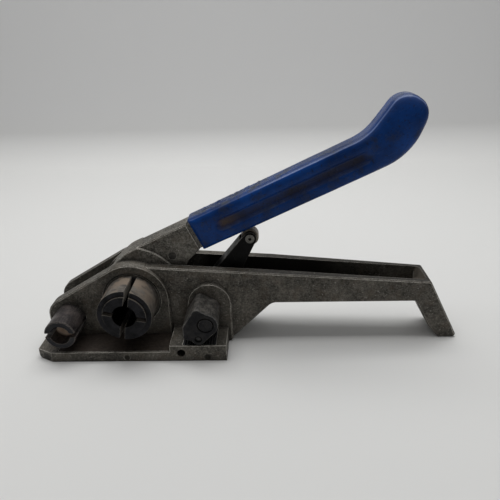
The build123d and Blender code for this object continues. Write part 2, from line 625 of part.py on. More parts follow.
# ---------------------------------------------------------------- pawls
def pawl_outline(px, pz, face, eye_r):
    """Side view of a pawl about the windlass centre: an eye, an arm and a hooked nose."""
    lead = degrees(NOSE_GAP / RATCHET_R)
    heel = turned(ROOT_R + NOSE_HEIGHT, face + lead)
    point = turned(ROOT_R + TIP_GAP, face + lead)
    over_tip = turned(RATCHET_R + 2 * TIP_GAP, face + PITCH)
    outer = tangent_point(heel[0], heel[1], px, pz, eye_r, 1)
    inner = tangent_point(over_tip[0], over_tip[1], px, pz, eye_r, -1)
    return polygon([point, heel, outer, (px, pz), inner, over_tip]) + Pos(px, pz) * Circle(eye_r)


def pawl(px, pz, face, pin_r):
    """A pawl whose nose stands against the tooth face at the given angle."""
    outline = pawl_outline(px, pz - AXIS_Z, face, pin_r + PAWL_EYE_WALL)
    body = slab(SIDE_VIEW * Pos(0, AXIS_Z) * outline, -PAWL_W / 2, PAWL_W / 2)
    seat_r = pin_r + PAWL_EYE_WALL + 4 * WIRE_R
    body -= disc(px, pz, seat_r, SEAT_Y - COIL_GAP, PAWL_W)
    body -= pawl_spring_leg(px, pz, face, pin_r, WIRE_R + COIL_GAP)
    return body - disc(px, pz, pin_r + RUN, -PAWL_W, PAWL_W)


def drive_pawl():
    return pawl(DRIVE_PIVOT_X, DRIVE_PIVOT_Z, FACE_ANGLE, DRIVE_PIN_R)


def holding_pawl():
    """The pawl in the frame; its near hub and its spring keep it in line with the ratchet."""
    hub = ring(HOLD_PIVOT_X, HOLD_PIVOT_Z, HOLD_PIN_R + HUB_WALL, HOLD_PIN_R + RUN,
               -IN_Y + SIDE, 0)
    return hub + pawl(HOLD_PIVOT_X, HOLD_PIVOT_Z, FACE_ANGLE - HOLD_STEPS * PITCH, HOLD_PIN_R)


def drive_pawl_pin():
    return disc(DRIVE_PIVOT_X, DRIVE_PIVOT_Z, DRIVE_PIN_R, -YOKE_W / 2 - 0.2, YOKE_W / 2 + 0.2)


def holding_pawl_pin():
    return disc(HOLD_PIVOT_X, HOLD_PIVOT_Z, HOLD_PIN_R, -IN_Y - PIN_GRIP, OUT_Y)


# ---------------------------------------------------------------- gripper
def cam_outline():
    """Eccentric cam about its shaft: a round back, a high heel and a toothed toe."""
    toe_x, toe_z = CAM_TOE
    heel_x, heel_z = CAM_HEEL
    flank = polygon([
        (heel_x - 0.85 * CAM_HEEL_R, heel_z + 0.5 * CAM_HEEL_R), (CAM_FRONT, CAM_FRONT_HIGH),
        (CAM_FRONT, CAM_FRONT_LOW), (toe_x - 0.95 * CAM_TOE_R, toe_z - 0.35 * CAM_TOE_R),
        (toe_x + 0.7 * CAM_TOE_R, toe_z - 0.7 * CAM_TOE_R), turned(CAM_BACK_R, -35),
        turned(CAM_BACK_R, 35), (heel_x + 0.5 * CAM_HEEL_R, heel_z + 0.86 * CAM_HEEL_R)])
    flank = rounded(flank, [
        (CAM_FRONT, CAM_FRONT_LOW, CAM_LOW_R), (CAM_FRONT, CAM_FRONT_HIGH, CAM_HIGH_R)])
    return (flank + Circle(CAM_BACK_R) + Pos(heel_x, heel_z) * Circle(CAM_HEEL_R)
            + Pos(toe_x, toe_z) * Circle(CAM_TOE_R))


def gripper_cam():
    """Cam keyed on the front of the gripper shaft, serrated where it bites the strap."""
    rear = BOSS_Y - CAM_GAP
    place = SIDE_VIEW * Pos(GRIP_SHAFT_X, GRIP_SHAFT_Z)
    cam = slab(place * cam_outline(), FRONT_Y, rear)
    cam = bevelled(cam, cam.faces().sort_by(Axis.Y)[:1], 0.5)
    for k in range(NICKS):
        angle = (k - (NICKS - 1) / 2) * NICK_STEP
        x, z = turned(CAM_TOE_R + NICK_W / 3, angle - 90, *CAM_TOE)
        nick = place * Pos(x, z) * Rot(0, 0, 45 + angle) * Rectangle(NICK_W, NICK_W)
        cam -= slab(nick, FRONT_Y - 1, rear + 1)
    cam -= slab(place * Circle(GRIP_SHAFT_R + SEAT), FRONT_Y - 1, rear + 1)
    return cam - slab(place * Pos(*CAM_TOE) * Circle(CAM_PIN_R + SEAT), FRONT_Y - 1, rear + 1)


def cam_pin():
    """Dowel through the cam's toe, a little below its front face."""
    return disc(GRIP_SHAFT_X + CAM_TOE[0], GRIP_SHAFT_Z + CAM_TOE[1], CAM_PIN_R,
                FRONT_Y + 1.0, BOSS_Y - CAM_GAP)


def gripper_shaft():
    """Shaft through both walls, held endways by the pin through the lever."""
    shaft = disc(GRIP_SHAFT_X, GRIP_SHAFT_Z, GRIP_SHAFT_R, FRONT_Y, OUT_Y + 1.5)
    shaft = bevelled(shaft, shaft.faces().sort_by(Axis.Y)[:1], 0.4)
    return shaft - roll_pin_at(ROLL_PIN_R + SEAT)


def roll_pin_at(r):
    """Cross pin through lever sleeve and shaft, square to the arm."""
    lean = degrees(atan2(ROLLER_Z - GRIP_SHAFT_Z, ROLLER_X - GRIP_SHAFT_X))
    pin = Rot(0, 90, 0) * Cylinder(r, 2 * LEVER_SLEEVE_R)
    return Pos(GRIP_SHAFT_X, 0, GRIP_SHAFT_Z) * Rot(0, 90 - lean, 0) * pin


def lever_roll_pin():
    return roll_pin_at(ROLL_PIN_R)


def gripper_lever():
    """Folded sheet lever: two side plates, the fold along its upper edge, and its sleeve."""
    half = LEVER_W / 2
    arm = link(GRIP_SHAFT_X, GRIP_SHAFT_Z, LEVER_HUB_R, ROLLER_X, ROLLER_Z, LEVER_END_R)
    block = slab(SIDE_VIEW * arm, -half, half)
    hollow = slab(SIDE_VIEW * arm, -half + LEVER_PLATE, half - LEVER_PLATE)
    length = hypot(ROLLER_X - GRIP_SHAFT_X, ROLLER_Z - GRIP_SHAFT_Z)
    lean = degrees(atan2(ROLLER_Z - GRIP_SHAFT_Z, ROLLER_X - GRIP_SHAFT_X))
    taper = degrees(acos((LEVER_HUB_R - LEVER_END_R) / length))
    edge = SIDE_VIEW * Pos(GRIP_SHAFT_X, GRIP_SHAFT_Z) * Rot(0, 0, lean + taper - 90)
    web_end = length - ROLLER_R - 1.0
    fold = slab(edge * Pos(0, LEVER_HUB_R - LEVER_PLATE) * Rectangle(
        web_end, LEVER_PLATE, align=(Align.MIN, Align.MIN)), -half, half)
    lever = block - hollow + (fold & block)
    lever += disc(GRIP_SHAFT_X, GRIP_SHAFT_Z, LEVER_SLEEVE_R, -half, half)
    lever -= disc(GRIP_SHAFT_X, GRIP_SHAFT_Z, GRIP_SHAFT_R + SEAT, -half - 1, half + 1)
    lever -= disc(ROLLER_X, ROLLER_Z, AXLE_R + SEAT, -half - 1, half + 1)
    return lever - roll_pin_at(ROLL_PIN_R + SEAT)


def lever_roller():
    half = LEVER_W / 2 - LEVER_PLATE - SIDE
    roller = ring(ROLLER_X, ROLLER_Z, ROLLER_R, AXLE_R + RUN, -half, half)
    rims = [f.edges().sort_by(SortBy.LENGTH)[-1] for f in roller.faces().filter_by(Axis.Y)]
    return chamfer(rims, length=0.5)


def roller_axle():
    """Tubular rivet through the lever's end, spread over both plates."""
    half = LEVER_W / 2
    axle = disc(ROLLER_X, ROLLER_Z, AXLE_R, -half - AXLE_HEAD, half + AXLE_HEAD)
    for y_lo in (-half - AXLE_HEAD, half):
        axle += disc(ROLLER_X, ROLLER_Z, AXLE_HEAD_R, y_lo, y_lo + AXLE_HEAD)
    return axle - disc(ROLLER_X, ROLLER_Z, AXLE_BORE_R, -half - 2 * AXLE_HEAD, -half + AXLE_HEAD)


# ---------------------------------------------------------------- springs
def spring_leg(centre, coil_r, tip, side, y, r):
    """Straight leg that leaves a coil along its tangent and ends at a tip."""
    start = tangent_point(tip[0], tip[1], centre[0], centre[1], coil_r, side)
    length = hypot(tip[0] - start[0], tip[1] - start[1])
    lean = degrees(atan2(tip[1] - start[1], tip[0] - start[0]))
    wire = Rot(0, 90, 0) * Cylinder(
        LEG_SLIM * r, length, align=(Align.CENTER, Align.CENTER, Align.MIN))
    return Pos(start[0], y, start[1]) * Rot(0, -lean, 0) * wire


def coil(centre, coil_r, y_lo, y_hi, r):
    """Close-wound turns of a torsion spring, as one barrel."""
    return ring(centre[0], centre[1], coil_r + r, coil_r - r, y_lo, y_hi)


def pawl_spring_leg(px, pz, face, pin_r, r):
    """Working leg of a pawl's spring, hooked in a hole along the arm."""
    nose = turned(RATCHET_R + TIP_GAP, face + PITCH / 2, 0, AXIS_Z)
    reach = 0.55
    tip = (px + reach * (nose[0] - px), pz + reach * (nose[1] - pz))
    return spring_leg((px, pz), coil_radius(pin_r, WIRE_R), tip, 1, SEAT_Y + WIRE_R, r)


def coil_radius(pin_r, wire_r):
    return pin_r + COIL_GAP + wire_r


def drive_pawl_spring():
    centre = (DRIVE_PIVOT_X, DRIVE_PIVOT_Z)
    radius = coil_radius(DRIVE_PIN_R, WIRE_R)
    y_hi = PAWL_W / 2
    web = from_handle(WEB_REACH, YOKE_TOP - YOKE_WEB - WIRE_R - COIL_GAP)
    return (coil(centre, radius, SEAT_Y, y_hi, WIRE_R)
            + pawl_spring_leg(*centre, FACE_ANGLE, DRIVE_PIN_R, WIRE_R)
            + spring_leg(centre, radius, web, -1, y_hi - WIRE_R, WIRE_R))


def holding_pawl_spring():
    centre = (HOLD_PIVOT_X, HOLD_PIVOT_Z)
    radius = coil_radius(HOLD_PIN_R, WIRE_R)
    y_hi = IN_Y - COIL_GAP
    floor = (HOLD_PIVOT_X + FLOOR_REACH, BASE_T + WIRE_R + COIL_GAP)
    return (coil(centre, radius, SEAT_Y, y_hi, WIRE_R)
            + pawl_spring_leg(*centre, FACE_ANGLE - HOLD_STEPS * PITCH, HOLD_PIN_R, WIRE_R)
            + spring_leg(centre, radius, floor, 1, y_hi - WIRE_R, WIRE_R))


def gripper_spring():
    """Heavier spring on the gripper shaft: one leg hooks the lever, one stands on the base."""
    centre = (GRIP_SHAFT_X, GRIP_SHAFT_Z)
    radius = coil_radius(GRIP_SHAFT_R, LEVER_WIRE_R)
    y_lo = LEVER_W / 2 + COIL_GAP
    y_hi = IN_Y - COIL_GAP
    length = hypot(ROLLER_X - GRIP_SHAFT_X, ROLLER_Z - GRIP_SHAFT_Z)
    lean = degrees(atan2(ROLLER_Z - GRIP_SHAFT_Z, ROLLER_X - GRIP_SHAFT_X))
    taper = degrees(acos((LEVER_HUB_R - LEVER_END_R) / length))
    edge_r = LEVER_HUB_R + LEVER_WIRE_R + COIL_GAP
    edge = turned(edge_r, lean - taper, *centre)
    slope = lean - taper + 90
    hook = turned(HOOK_REACH, slope, *edge)
    floor = (GRIP_SHAFT_X - SHAFT_FLOOR, BASE_T + LEVER_WIRE_R + COIL_GAP)
    body = coil(centre, radius, y_lo, y_hi, LEVER_WIRE_R)
    body += spring_leg(centre, radius, hook, -1, y_lo + LEVER_WIRE_R, LEVER_WIRE_R)
    body += disc(hook[0], hook[1], LEVER_WIRE_R, LEVER_W / 2 - LEVER_PLATE, y_lo + LEVER_WIRE_R)
    return body + spring_leg(centre, radius, floor, -1, y_hi - LEVER_WIRE_R, LEVER_WIRE_R)


# ---------------------------------------------------------------- assembly
def build():
    return casting_parts() | {
        "wear_plate": wear_plate(),
        "gripper_plate": gripper_plate(),
        "base_plugs": base_plugs(),
        "guide_tube": guide_tube(),
        "windlass_drum": windlass_drum(),
        "ratchet_wheel": ratchet_wheel(),
        "ratchet_key": ratchet_key(),
        "windlass_ring": windlass_ring(),
        "handle_yoke": handle_yoke(),
        "handle_grip": handle_grip(),
        "drive_pawl": drive_pawl(),
        "drive_pawl_pin": drive_pawl_pin(),
        "drive_pawl_spring": drive_pawl_spring(),
        "holding_pawl": holding_pawl(),
        "holding_pawl_pin": holding_pawl_pin(),
        "holding_pawl_spring": holding_pawl_spring(),
        "gripper_cam": gripper_cam(),
        "cam_pin": cam_pin(),
        "gripper_shaft": gripper_shaft(),
        "gripper_lever": gripper_lever(),
        "lever_roll_pin": lever_roll_pin(),
        "lever_roller": lever_roller(),
        "roller_axle": roller_axle(),
        "gripper_spring": gripper_spring(),
    }


for node, shape in build().items():
    solid = Compound(children=list(shape)) if isinstance(shape, list) else shape
    export_step(solid, f"parts/{node}.step")
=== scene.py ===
"""Looks of the hand strapping tensioner: worn cast steel frame, turned windlass,
bluish gripper cam, black release lever and blue vinyl sleeve.

Lengths are in metres, except the springs' sizes, in mm. X runs from the windlass to
the tail, Y away from the front, Z up."""
import bpy
import bmesh
import json
from math import acos, atan2, cos, pi, radians, sin
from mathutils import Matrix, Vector, noise


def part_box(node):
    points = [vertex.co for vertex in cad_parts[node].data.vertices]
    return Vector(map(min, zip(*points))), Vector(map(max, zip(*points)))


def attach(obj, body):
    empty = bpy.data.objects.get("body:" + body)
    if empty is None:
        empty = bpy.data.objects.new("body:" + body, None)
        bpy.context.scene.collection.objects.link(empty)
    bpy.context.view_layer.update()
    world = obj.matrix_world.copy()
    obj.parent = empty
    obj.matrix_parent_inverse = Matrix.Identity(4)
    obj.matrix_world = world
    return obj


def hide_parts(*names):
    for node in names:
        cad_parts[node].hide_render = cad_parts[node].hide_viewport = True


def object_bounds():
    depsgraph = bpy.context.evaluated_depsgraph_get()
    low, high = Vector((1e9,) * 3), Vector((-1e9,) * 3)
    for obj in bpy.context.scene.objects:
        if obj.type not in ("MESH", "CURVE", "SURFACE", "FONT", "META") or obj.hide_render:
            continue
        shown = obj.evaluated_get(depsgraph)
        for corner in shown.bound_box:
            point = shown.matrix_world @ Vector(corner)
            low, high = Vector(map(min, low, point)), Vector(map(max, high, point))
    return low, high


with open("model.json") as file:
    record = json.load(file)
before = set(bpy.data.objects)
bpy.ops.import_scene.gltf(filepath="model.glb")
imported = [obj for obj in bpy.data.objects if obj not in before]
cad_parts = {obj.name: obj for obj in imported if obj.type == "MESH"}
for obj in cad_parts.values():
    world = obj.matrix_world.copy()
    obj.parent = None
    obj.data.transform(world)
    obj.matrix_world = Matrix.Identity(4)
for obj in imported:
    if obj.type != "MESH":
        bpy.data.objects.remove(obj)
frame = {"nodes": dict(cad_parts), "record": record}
cad_box = [list(corner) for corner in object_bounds()]
record = frame["record"]
joint_at = {j["name"]: Vector(j["pos_m"]) for j in record["behaviour"]["joints"]}
MM = 0.001

# Places on the handle: along it and across it from the windlass axis.
HANDLE_SLOPE = radians(25.0)    # the handle's slope at rest
GROOVE_ACROSS = 0.02155         # middle of the sleeve's finger groove, across
GROOVE_FROM = 0.091             # and its two ends, along
GROOVE_TO = 0.208
TORN_FROM = 0.080               # the sleeve's top edge is torn between these, along
TORN_TO = 0.130
TORN_ABOVE = 0.0072             # this far above the groove and more
TORN_PAST_Y = -0.0045           # and from here to the far side
TIP_FROM = 0.208                # the sleeve swells into its tip from here
TIP_BLEND = 0.026               # over this length
TIP_SWELL = 0.16                # and ends this much thicker

# Places on the casting: where a look starts to show, and where it is full.
LESS_OIL_AND_SHADE_X = (0.10, 0.21)       # the painted shade and oil in its corners fade towards the tail
RAIL_TOP_X = (0.09, 0.11)       # the rails' top edges are darker past here
TROUGH_MIDDLE_Y = -0.0018
TROUGH_SIDE = (0.0100, 0.0096)  # half the trough's width
TROUGH_FAR_Y = (0.0, 0.004)     # the far rail's inner face lies past this
TROUGH_X = (0.05, 0.06)
TROUGH_TAIL_X = (0.210, 0.15)
TROUGH_Z = (0.012, 0.02)
END_WALL_X = (0.195, 0.203)     # the wall that closes the trough at its tail
END_WALL_Z = (0.034, 0.038)
TOE_PLUG = 2.9                  # the toe's plug lies this many plug radii from the nose

# Places on the windlass, from its axis.
SLOT_LEAN = radians(12.0)       # lean of the strap slot at rest
SLOT_HUB_R = 0.0115             # its walls are painted pale as lit between these
SLOT_RIM_R = 0.0202
BORE_R = 0.0092                 # just past the bore's wall
BORE_DEPTH = (0.034, 0.030)     # the bore is painted black as shade from the front down to here

FLOAT, VECTOR = "NodeSocketFloat", "NodeSocketVector"


# ---------------------------------------------------------------- node helpers
def put(tree, kind, **settings):
    """A node with its own settings; a key that names an input sets that input."""
    node = tree.nodes.new(kind)
    for key, value in settings.items():
        if hasattr(node, key):
            setattr(node, key, value)
        else:
            node.inputs[key.replace("_", " ")].default_value = value
    return node


def wire(tree, source, target):
    tree.links.new(source, target)


def maths(tree, operation, first, second=0.5, clamp=False):
    """One sum of two sockets or numbers."""
    node = put(tree, "ShaderNodeMath", operation=operation, use_clamp=clamp)
    for socket, value in zip(node.inputs, (first, second)):
        if isinstance(value, (int, float)):
            socket.default_value = value
        else:
            wire(tree, value, socket)
    return node.outputs[0]


def times(tree, *factors):
    """The product of two or more sockets or numbers."""
    product = factors[0]
    for factor in factors[1:]:
        product = maths(tree, "MULTIPLY", product, factor)
    return product


def inverse(tree, mask):
    return maths(tree, "SUBTRACT", 1.0, mask)


def absolute(tree, value):
    return maths(tree, "ABSOLUTE", value)


def weighted(tree, *parts):
    """The sum of values, each times its weight."""
    total = times(tree, *parts[0])
    for part in parts[1:]:
        total = maths(tree, "ADD", total, times(tree, *part))
    return total


def remap(tree, value, low, high, to_low=0.0, to_high=1.0):
    """A straight ramp, held level outside low and high."""
    node = put(tree, "ShaderNodeMapRange", clamp=True)
    wire(tree, value, node.inputs["Value"])
    ends = {"From Min": low, "From Max": high, "To Min": to_low, "To Max": to_high}
    for name, number in ends.items():
        node.inputs[name].default_value = number
    return node.outputs["Result"]


def blend_colour(tree, mask, first, second):
    """first where the mask is 0, second where it is 1; each a colour or a socket."""
    node = put(tree, "ShaderNodeMix", data_type="RGBA")
    wire(tree, mask, node.inputs["Factor"])
    colour_inputs = [s for s in node.inputs if s.type == "RGBA"]
    for socket, value in zip(colour_inputs, (first, second)):
        if isinstance(value, (tuple, list)):
            socket.default_value = (*value, 1.0)
        else:
            wire(tree, value, socket)
    return [s for s in node.outputs if s.type == "RGBA"][0]


def layered(tree, colour, *coats):
    """A colour with each coat (mask, colour) laid over it in turn."""
    for mask, coat in coats:
        colour = blend_colour(tree, mask, colour, coat)
    return colour


def object_coords(tree):
    """The point in the tool's own frame, which turns with its body."""
    return put(tree, "ShaderNodeTexCoord").outputs["Object"]


def group_tree(name, inputs, output):
    """An empty shader group with named inputs (name, kind, value) and one number out."""
    tree = bpy.data.node_groups.new(name, "ShaderNodeTree")
    for label, kind, value in inputs:
        socket = tree.interface.new_socket(name=label, in_out="INPUT", socket_type=kind)
        socket.default_value = value
    tree.interface.new_socket(name=output, in_out="OUTPUT", socket_type=FLOAT)
    return tree, put(tree, "NodeGroupInput"), put(tree, "NodeGroupOutput")


# ---------------------------------------------------------------- shared effects
def spread(tree, given, value, **settings):
    """value, run from 0 at the group's Low to 1 at its High."""
    ramp = put(tree, "ShaderNodeMapRange", **settings)
    wire(tree, value, ramp.inputs["Value"])
    wire(tree, given.outputs["Low"], ramp.inputs["From Min"])
    wire(tree, given.outputs["High"], ramp.inputs["From Max"])
    return ramp.outputs["Result"]


def scaled_texture(tree, given, kind, scale, **settings):
    """A texture over the tool's own frame, at the scale of the group's input of that name."""
    texture = put(tree, kind, **settings)
    wire(tree, object_coords(tree), texture.inputs["Vector"])
    wire(tree, given.outputs[scale], texture.inputs["Scale"])
    return texture


def axis_distance(tree, given):
    """Distance from the line that runs across the tool through the group's Centre."""
    away = put(tree, "ShaderNodeVectorMath", operation="SUBTRACT")
    wire(tree, object_coords(tree), away.inputs[0])
    wire(tree, given.outputs["Centre"], away.inputs[1])
    flatten = put(tree, "ShaderNodeVectorMath", operation="MULTIPLY")
    wire(tree, away.outputs[0], flatten.inputs[0])
    flatten.inputs[1].default_value = (1, 0, 1)
    reach = put(tree, "ShaderNodeVectorMath", operation="LENGTH")
    wire(tree, flatten.outputs[0], reach.inputs[0])
    return reach.outputs["Value"]


def make_mottle():
    """Cloudy stains: a mask from fine-grained noise."""
    tree, given, out = group_tree(
        "stain_mottle", [("Scale", FLOAT, 120.0), ("Low", FLOAT, 0.4), ("High", FLOAT, 0.65),
                         ("Shift", VECTOR, (0, 0, 0))], "Mask")
    moved = put(tree, "ShaderNodeVectorMath", operation="ADD")
    wire(tree, object_coords(tree), moved.inputs[0])
    wire(tree, given.outputs["Shift"], moved.inputs[1])
    clouds = put(tree, "ShaderNodeTexNoise", Detail=7.0, Roughness=0.62)
    wire(tree, moved.outputs[0], clouds.inputs["Vector"])
    wire(tree, given.outputs["Scale"], clouds.inputs["Scale"])
    stain = spread(tree, given, clouds.outputs[0], interpolation_type="SMOOTHSTEP")
    wire(tree, stain, out.inputs["Mask"])
    return tree


def make_edge_rub():
    """Bare metal on rubbed outer edges plus painted highlights there, broken up by noise and
    fainter underneath.
    """
    tree, given, out = group_tree(
        "edge_wear_and_highlight", [("Width", FLOAT, 0.0008), ("Breakup", FLOAT, 300.0),
                     ("Amount", FLOAT, 1.0)], "Mask")
    soft = put(tree, "ShaderNodeBevel", samples=4)
    wire(tree, given.outputs["Width"], soft.inputs["Radius"])
    turned = put(tree, "ShaderNodeVectorMath", operation="DOT_PRODUCT")
    wire(tree, soft.outputs[0], turned.inputs[0])
    wire(tree, put(tree, "ShaderNodeNewGeometry").outputs["Normal"], turned.inputs[1])
    bend = remap(tree, turned.outputs["Value"], 0.992, 0.93)
    open_air = put(tree, "ShaderNodeAmbientOcclusion", samples=4, Distance=0.003)
    convex = remap(tree, open_air.outputs["AO"], 0.66, 0.86)
    breakup = scaled_texture(tree, given, "ShaderNodeTexNoise", "Breakup",
                             Detail=4.0, Roughness=0.6)
    patchy = remap(tree, breakup.outputs[0], 0.34, 0.56, 0.3, 1.0)
    own_frame = put(tree, "ShaderNodeVectorTransform", vector_type="NORMAL",
                    convert_from="WORLD", convert_to="OBJECT")
    wire(tree, soft.outputs[0], own_frame.inputs[0])
    upward = put(tree, "ShaderNodeSeparateXYZ")
    wire(tree, own_frame.outputs[0], upward.inputs[0])
    # fainter on edges facing down: the highlight is painted as if lit from above
    on_top = remap(tree, upward.outputs["Z"], -0.3, 0.0, 0.1, 1.0)
    mask = times(tree, bend, convex, times(tree, patchy, on_top))
    wire(tree, maths(tree, "MULTIPLY", mask, given.outputs["Amount"], clamp=True),
         out.inputs["Mask"])
    return tree


def make_corner_dirt():
    """Oily dirt and painted shade in inside corners and under overhangs."""
    tree, given, out = group_tree(
        "corner_oil_and_shade", [("Reach", FLOAT, 0.006), ("Breakup", FLOAT, 160.0),
                        ("Amount", FLOAT, 1.0)], "Mask")
    # occlusion darkens corners and overhangs: painted shade, together with oily dirt
    shade = put(tree, "ShaderNodeAmbientOcclusion", samples=6)
    wire(tree, given.outputs["Reach"], shade.inputs["Distance"])
    deep = remap(tree, shade.outputs["AO"], 0.85, 0.25)
    breakup = scaled_texture(tree, given, "ShaderNodeTexNoise", "Breakup",
                             Detail=5.0, Roughness=0.6)
    patchy = remap(tree, breakup.outputs[0], 0.3, 0.62, 0.45, 1.0)
    wire(tree, maths(tree, "MULTIPLY", times(tree, deep, patchy), given.outputs["Amount"],
                     clamp=True), out.inputs["Mask"])
    return tree


def make_cast_grain():
    """Height of a sand-cast skin: fine grit, soft lumps and a few pits."""
    tree, given, out = group_tree(
        "cast_grain", [("Grit", FLOAT, 1500.0), ("Lumps", FLOAT, 240.0),
                       ("Pits", FLOAT, 420.0)], "Height")
    grit = scaled_texture(tree, given, "ShaderNodeTexNoise", "Grit", Detail=3.0, Roughness=0.7)
    lumps = scaled_texture(tree, given, "ShaderNodeTexNoise", "Lumps", Detail=3.0, Roughness=0.5)
    pits = scaled_texture(tree, given, "ShaderNodeTexVoronoi", "Pits", feature="F1")
    hole = remap(tree, pits.outputs["Distance"], 0.0, 0.28, -0.6, 0.0)
    base = maths(tree, "ADD", times(tree, grit.outputs[0], 0.45), lumps.outputs[0])
    wire(tree, maths(tree, "ADD", base, hole), out.inputs["Height"])
    return tree


def make_scratches():
    """Fine straight scratches along one direction, as a mask."""
    tree, given, out = group_tree(
        "scratches", [("Across", FLOAT, 1600.0), ("Along", FLOAT, 60.0),
                      ("Turn", VECTOR, (0, 0, 0)), ("Low", FLOAT, 0.6), ("High", FLOAT, 0.75)],
        "Mask")
    turned = put(tree, "ShaderNodeVectorRotate", rotation_type="EULER_XYZ")
    wire(tree, object_coords(tree), turned.inputs["Vector"])
    wire(tree, given.outputs["Turn"], turned.inputs["Rotation"])
    stretch = put(tree, "ShaderNodeCombineXYZ")
    for axis, scale in (("X", "Along"), ("Y", "Across"), ("Z", "Across")):
        wire(tree, given.outputs[scale], stretch.inputs[axis])
    scaled = put(tree, "ShaderNodeVectorMath", operation="MULTIPLY")
    wire(tree, turned.outputs[0], scaled.inputs[0])
    wire(tree, stretch.outputs[0], scaled.inputs[1])
    lines = put(tree, "ShaderNodeTexNoise", Scale=1.0, Detail=3.0, Roughness=0.55)
    wire(tree, scaled.outputs[0], lines.inputs["Vector"])
    wire(tree, spread(tree, given, lines.outputs[0]), out.inputs["Mask"])
    return tree


def make_turning_marks():
    """Height of lathe rings round an axis across the tool, through a given centre."""
    tree, given, out = group_tree(
        "turning_marks", [("Centre", VECTOR, (0, 0, 0)), ("Pitch", FLOAT, 0.0007)], "Height")
    wobble = put(tree, "ShaderNodeTexNoise", Scale=90.0, Detail=2.0)
    wire(tree, object_coords(tree), wobble.inputs["Vector"])
    turns = maths(tree, "DIVIDE", axis_distance(tree, given), given.outputs["Pitch"])
    turns = maths(tree, "ADD", turns, times(tree, wobble.outputs[0], 1.2))
    wire(tree, maths(tree, "SINE", times(tree, turns, 2 * pi)), out.inputs["Height"])
    return tree


def make_round_mark():
    """A ring line (Wall above 0) or a filled spot (Wall 0) round an axis across the tool."""
    tree, given, out = group_tree(
        "round_mark", [("Centre", VECTOR, (0, 0, 0)), ("Radius", FLOAT, 0.005),
                       ("Wall", FLOAT, 0.0), ("Fade", FLOAT, 0.0003)], "Mask")
    past = maths(tree, "SUBTRACT", axis_distance(tree, given), given.outputs["Radius"])
    off_line = maths(tree, "SUBTRACT", absolute(tree, past), given.outputs["Wall"])
    swap = put(tree, "ShaderNodeMix", data_type="FLOAT")
    wire(tree, maths(tree, "GREATER_THAN", given.outputs["Wall"], 0.0), swap.inputs[0])
    wire(tree, past, swap.inputs[2])
    wire(tree, off_line, swap.inputs[3])
    soft = maths(tree, "DIVIDE", swap.outputs[0], given.outputs["Fade"])
    wire(tree, maths(tree, "SUBTRACT", 1.0, soft, clamp=True), out.inputs["Mask"])
    return tree


MOTTLE = make_mottle()
EDGE_WEAR_AND_HIGHLIGHT = make_edge_rub()
CORNER_OIL_AND_SHADE = make_corner_dirt()
CAST_GRAIN = make_cast_grain()
SCRATCHES = make_scratches()
TURNING_MARKS = make_turning_marks()
ROUND_MARK = make_round_mark()


def use(tree, group, **values):
    """One effect placed in a material with its own values; returns its first output."""
    node = tree.nodes.new("ShaderNodeGroup")
    node.node_tree = group
    for key, value in values.items():
        node.inputs[key].default_value = value
    return node.outputs[0]


def new_finish(name):
    """A new material with only its shader and output."""
    material = bpy.data.materials.new(name)
    material.use_nodes = True
    tree = material.node_tree
    tree.nodes.clear()
    shader = put(tree, "ShaderNodeBsdfPrincipled")
    wire(tree, shader.outputs[0], put(tree, "ShaderNodeOutputMaterial").inputs["Surface"])
    return material, tree, shader


def finish_up(tree, shader, colour, roughness, shine, metal=0.0):
    """Colour and roughness by sockets; shine and metal as plain numbers."""
    wire(tree, colour, shader.inputs["Base Color"])
    wire(tree, roughness, shader.inputs["Roughness"])
    shader.inputs["Specular IOR Level"].default_value = shine
    shader.inputs["Metallic"].default_value = metal


def object_place(tree):
    """Separate X, Y and Z of the point in the tool's own frame."""
    place = put(tree, "ShaderNodeSeparateXYZ")
    wire(tree, object_coords(tree), place.inputs[0])
    return place.outputs


def facing(tree):
    """Separate X, Y and Z of the surface's direction, turning with its body."""
    split = put(tree, "ShaderNodeSeparateXYZ")
    wire(tree, put(tree, "ShaderNodeTexCoord").outputs["Normal"], split.inputs[0])
    return split.outputs


def bump(tree, shader, height, strength, distance):
    node = put(tree, "ShaderNodeBump", Strength=strength, Distance=distance)
    wire(tree, height, node.inputs["Height"])
    wire(tree, node.outputs[0], shader.inputs["Normal"])


# ---------------------------------------------------------------- finishes
def plug_places():
    """Centres and radius of the plugs in the base's front edge."""
    low, high = (Vector(corner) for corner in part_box("base_plugs"))
    radius = (high.z - low.z) / 2
    middle = (high.z + low.z) / 2
    return [(low.x + radius, 0, middle), (high.x - radius, 0, middle)], radius


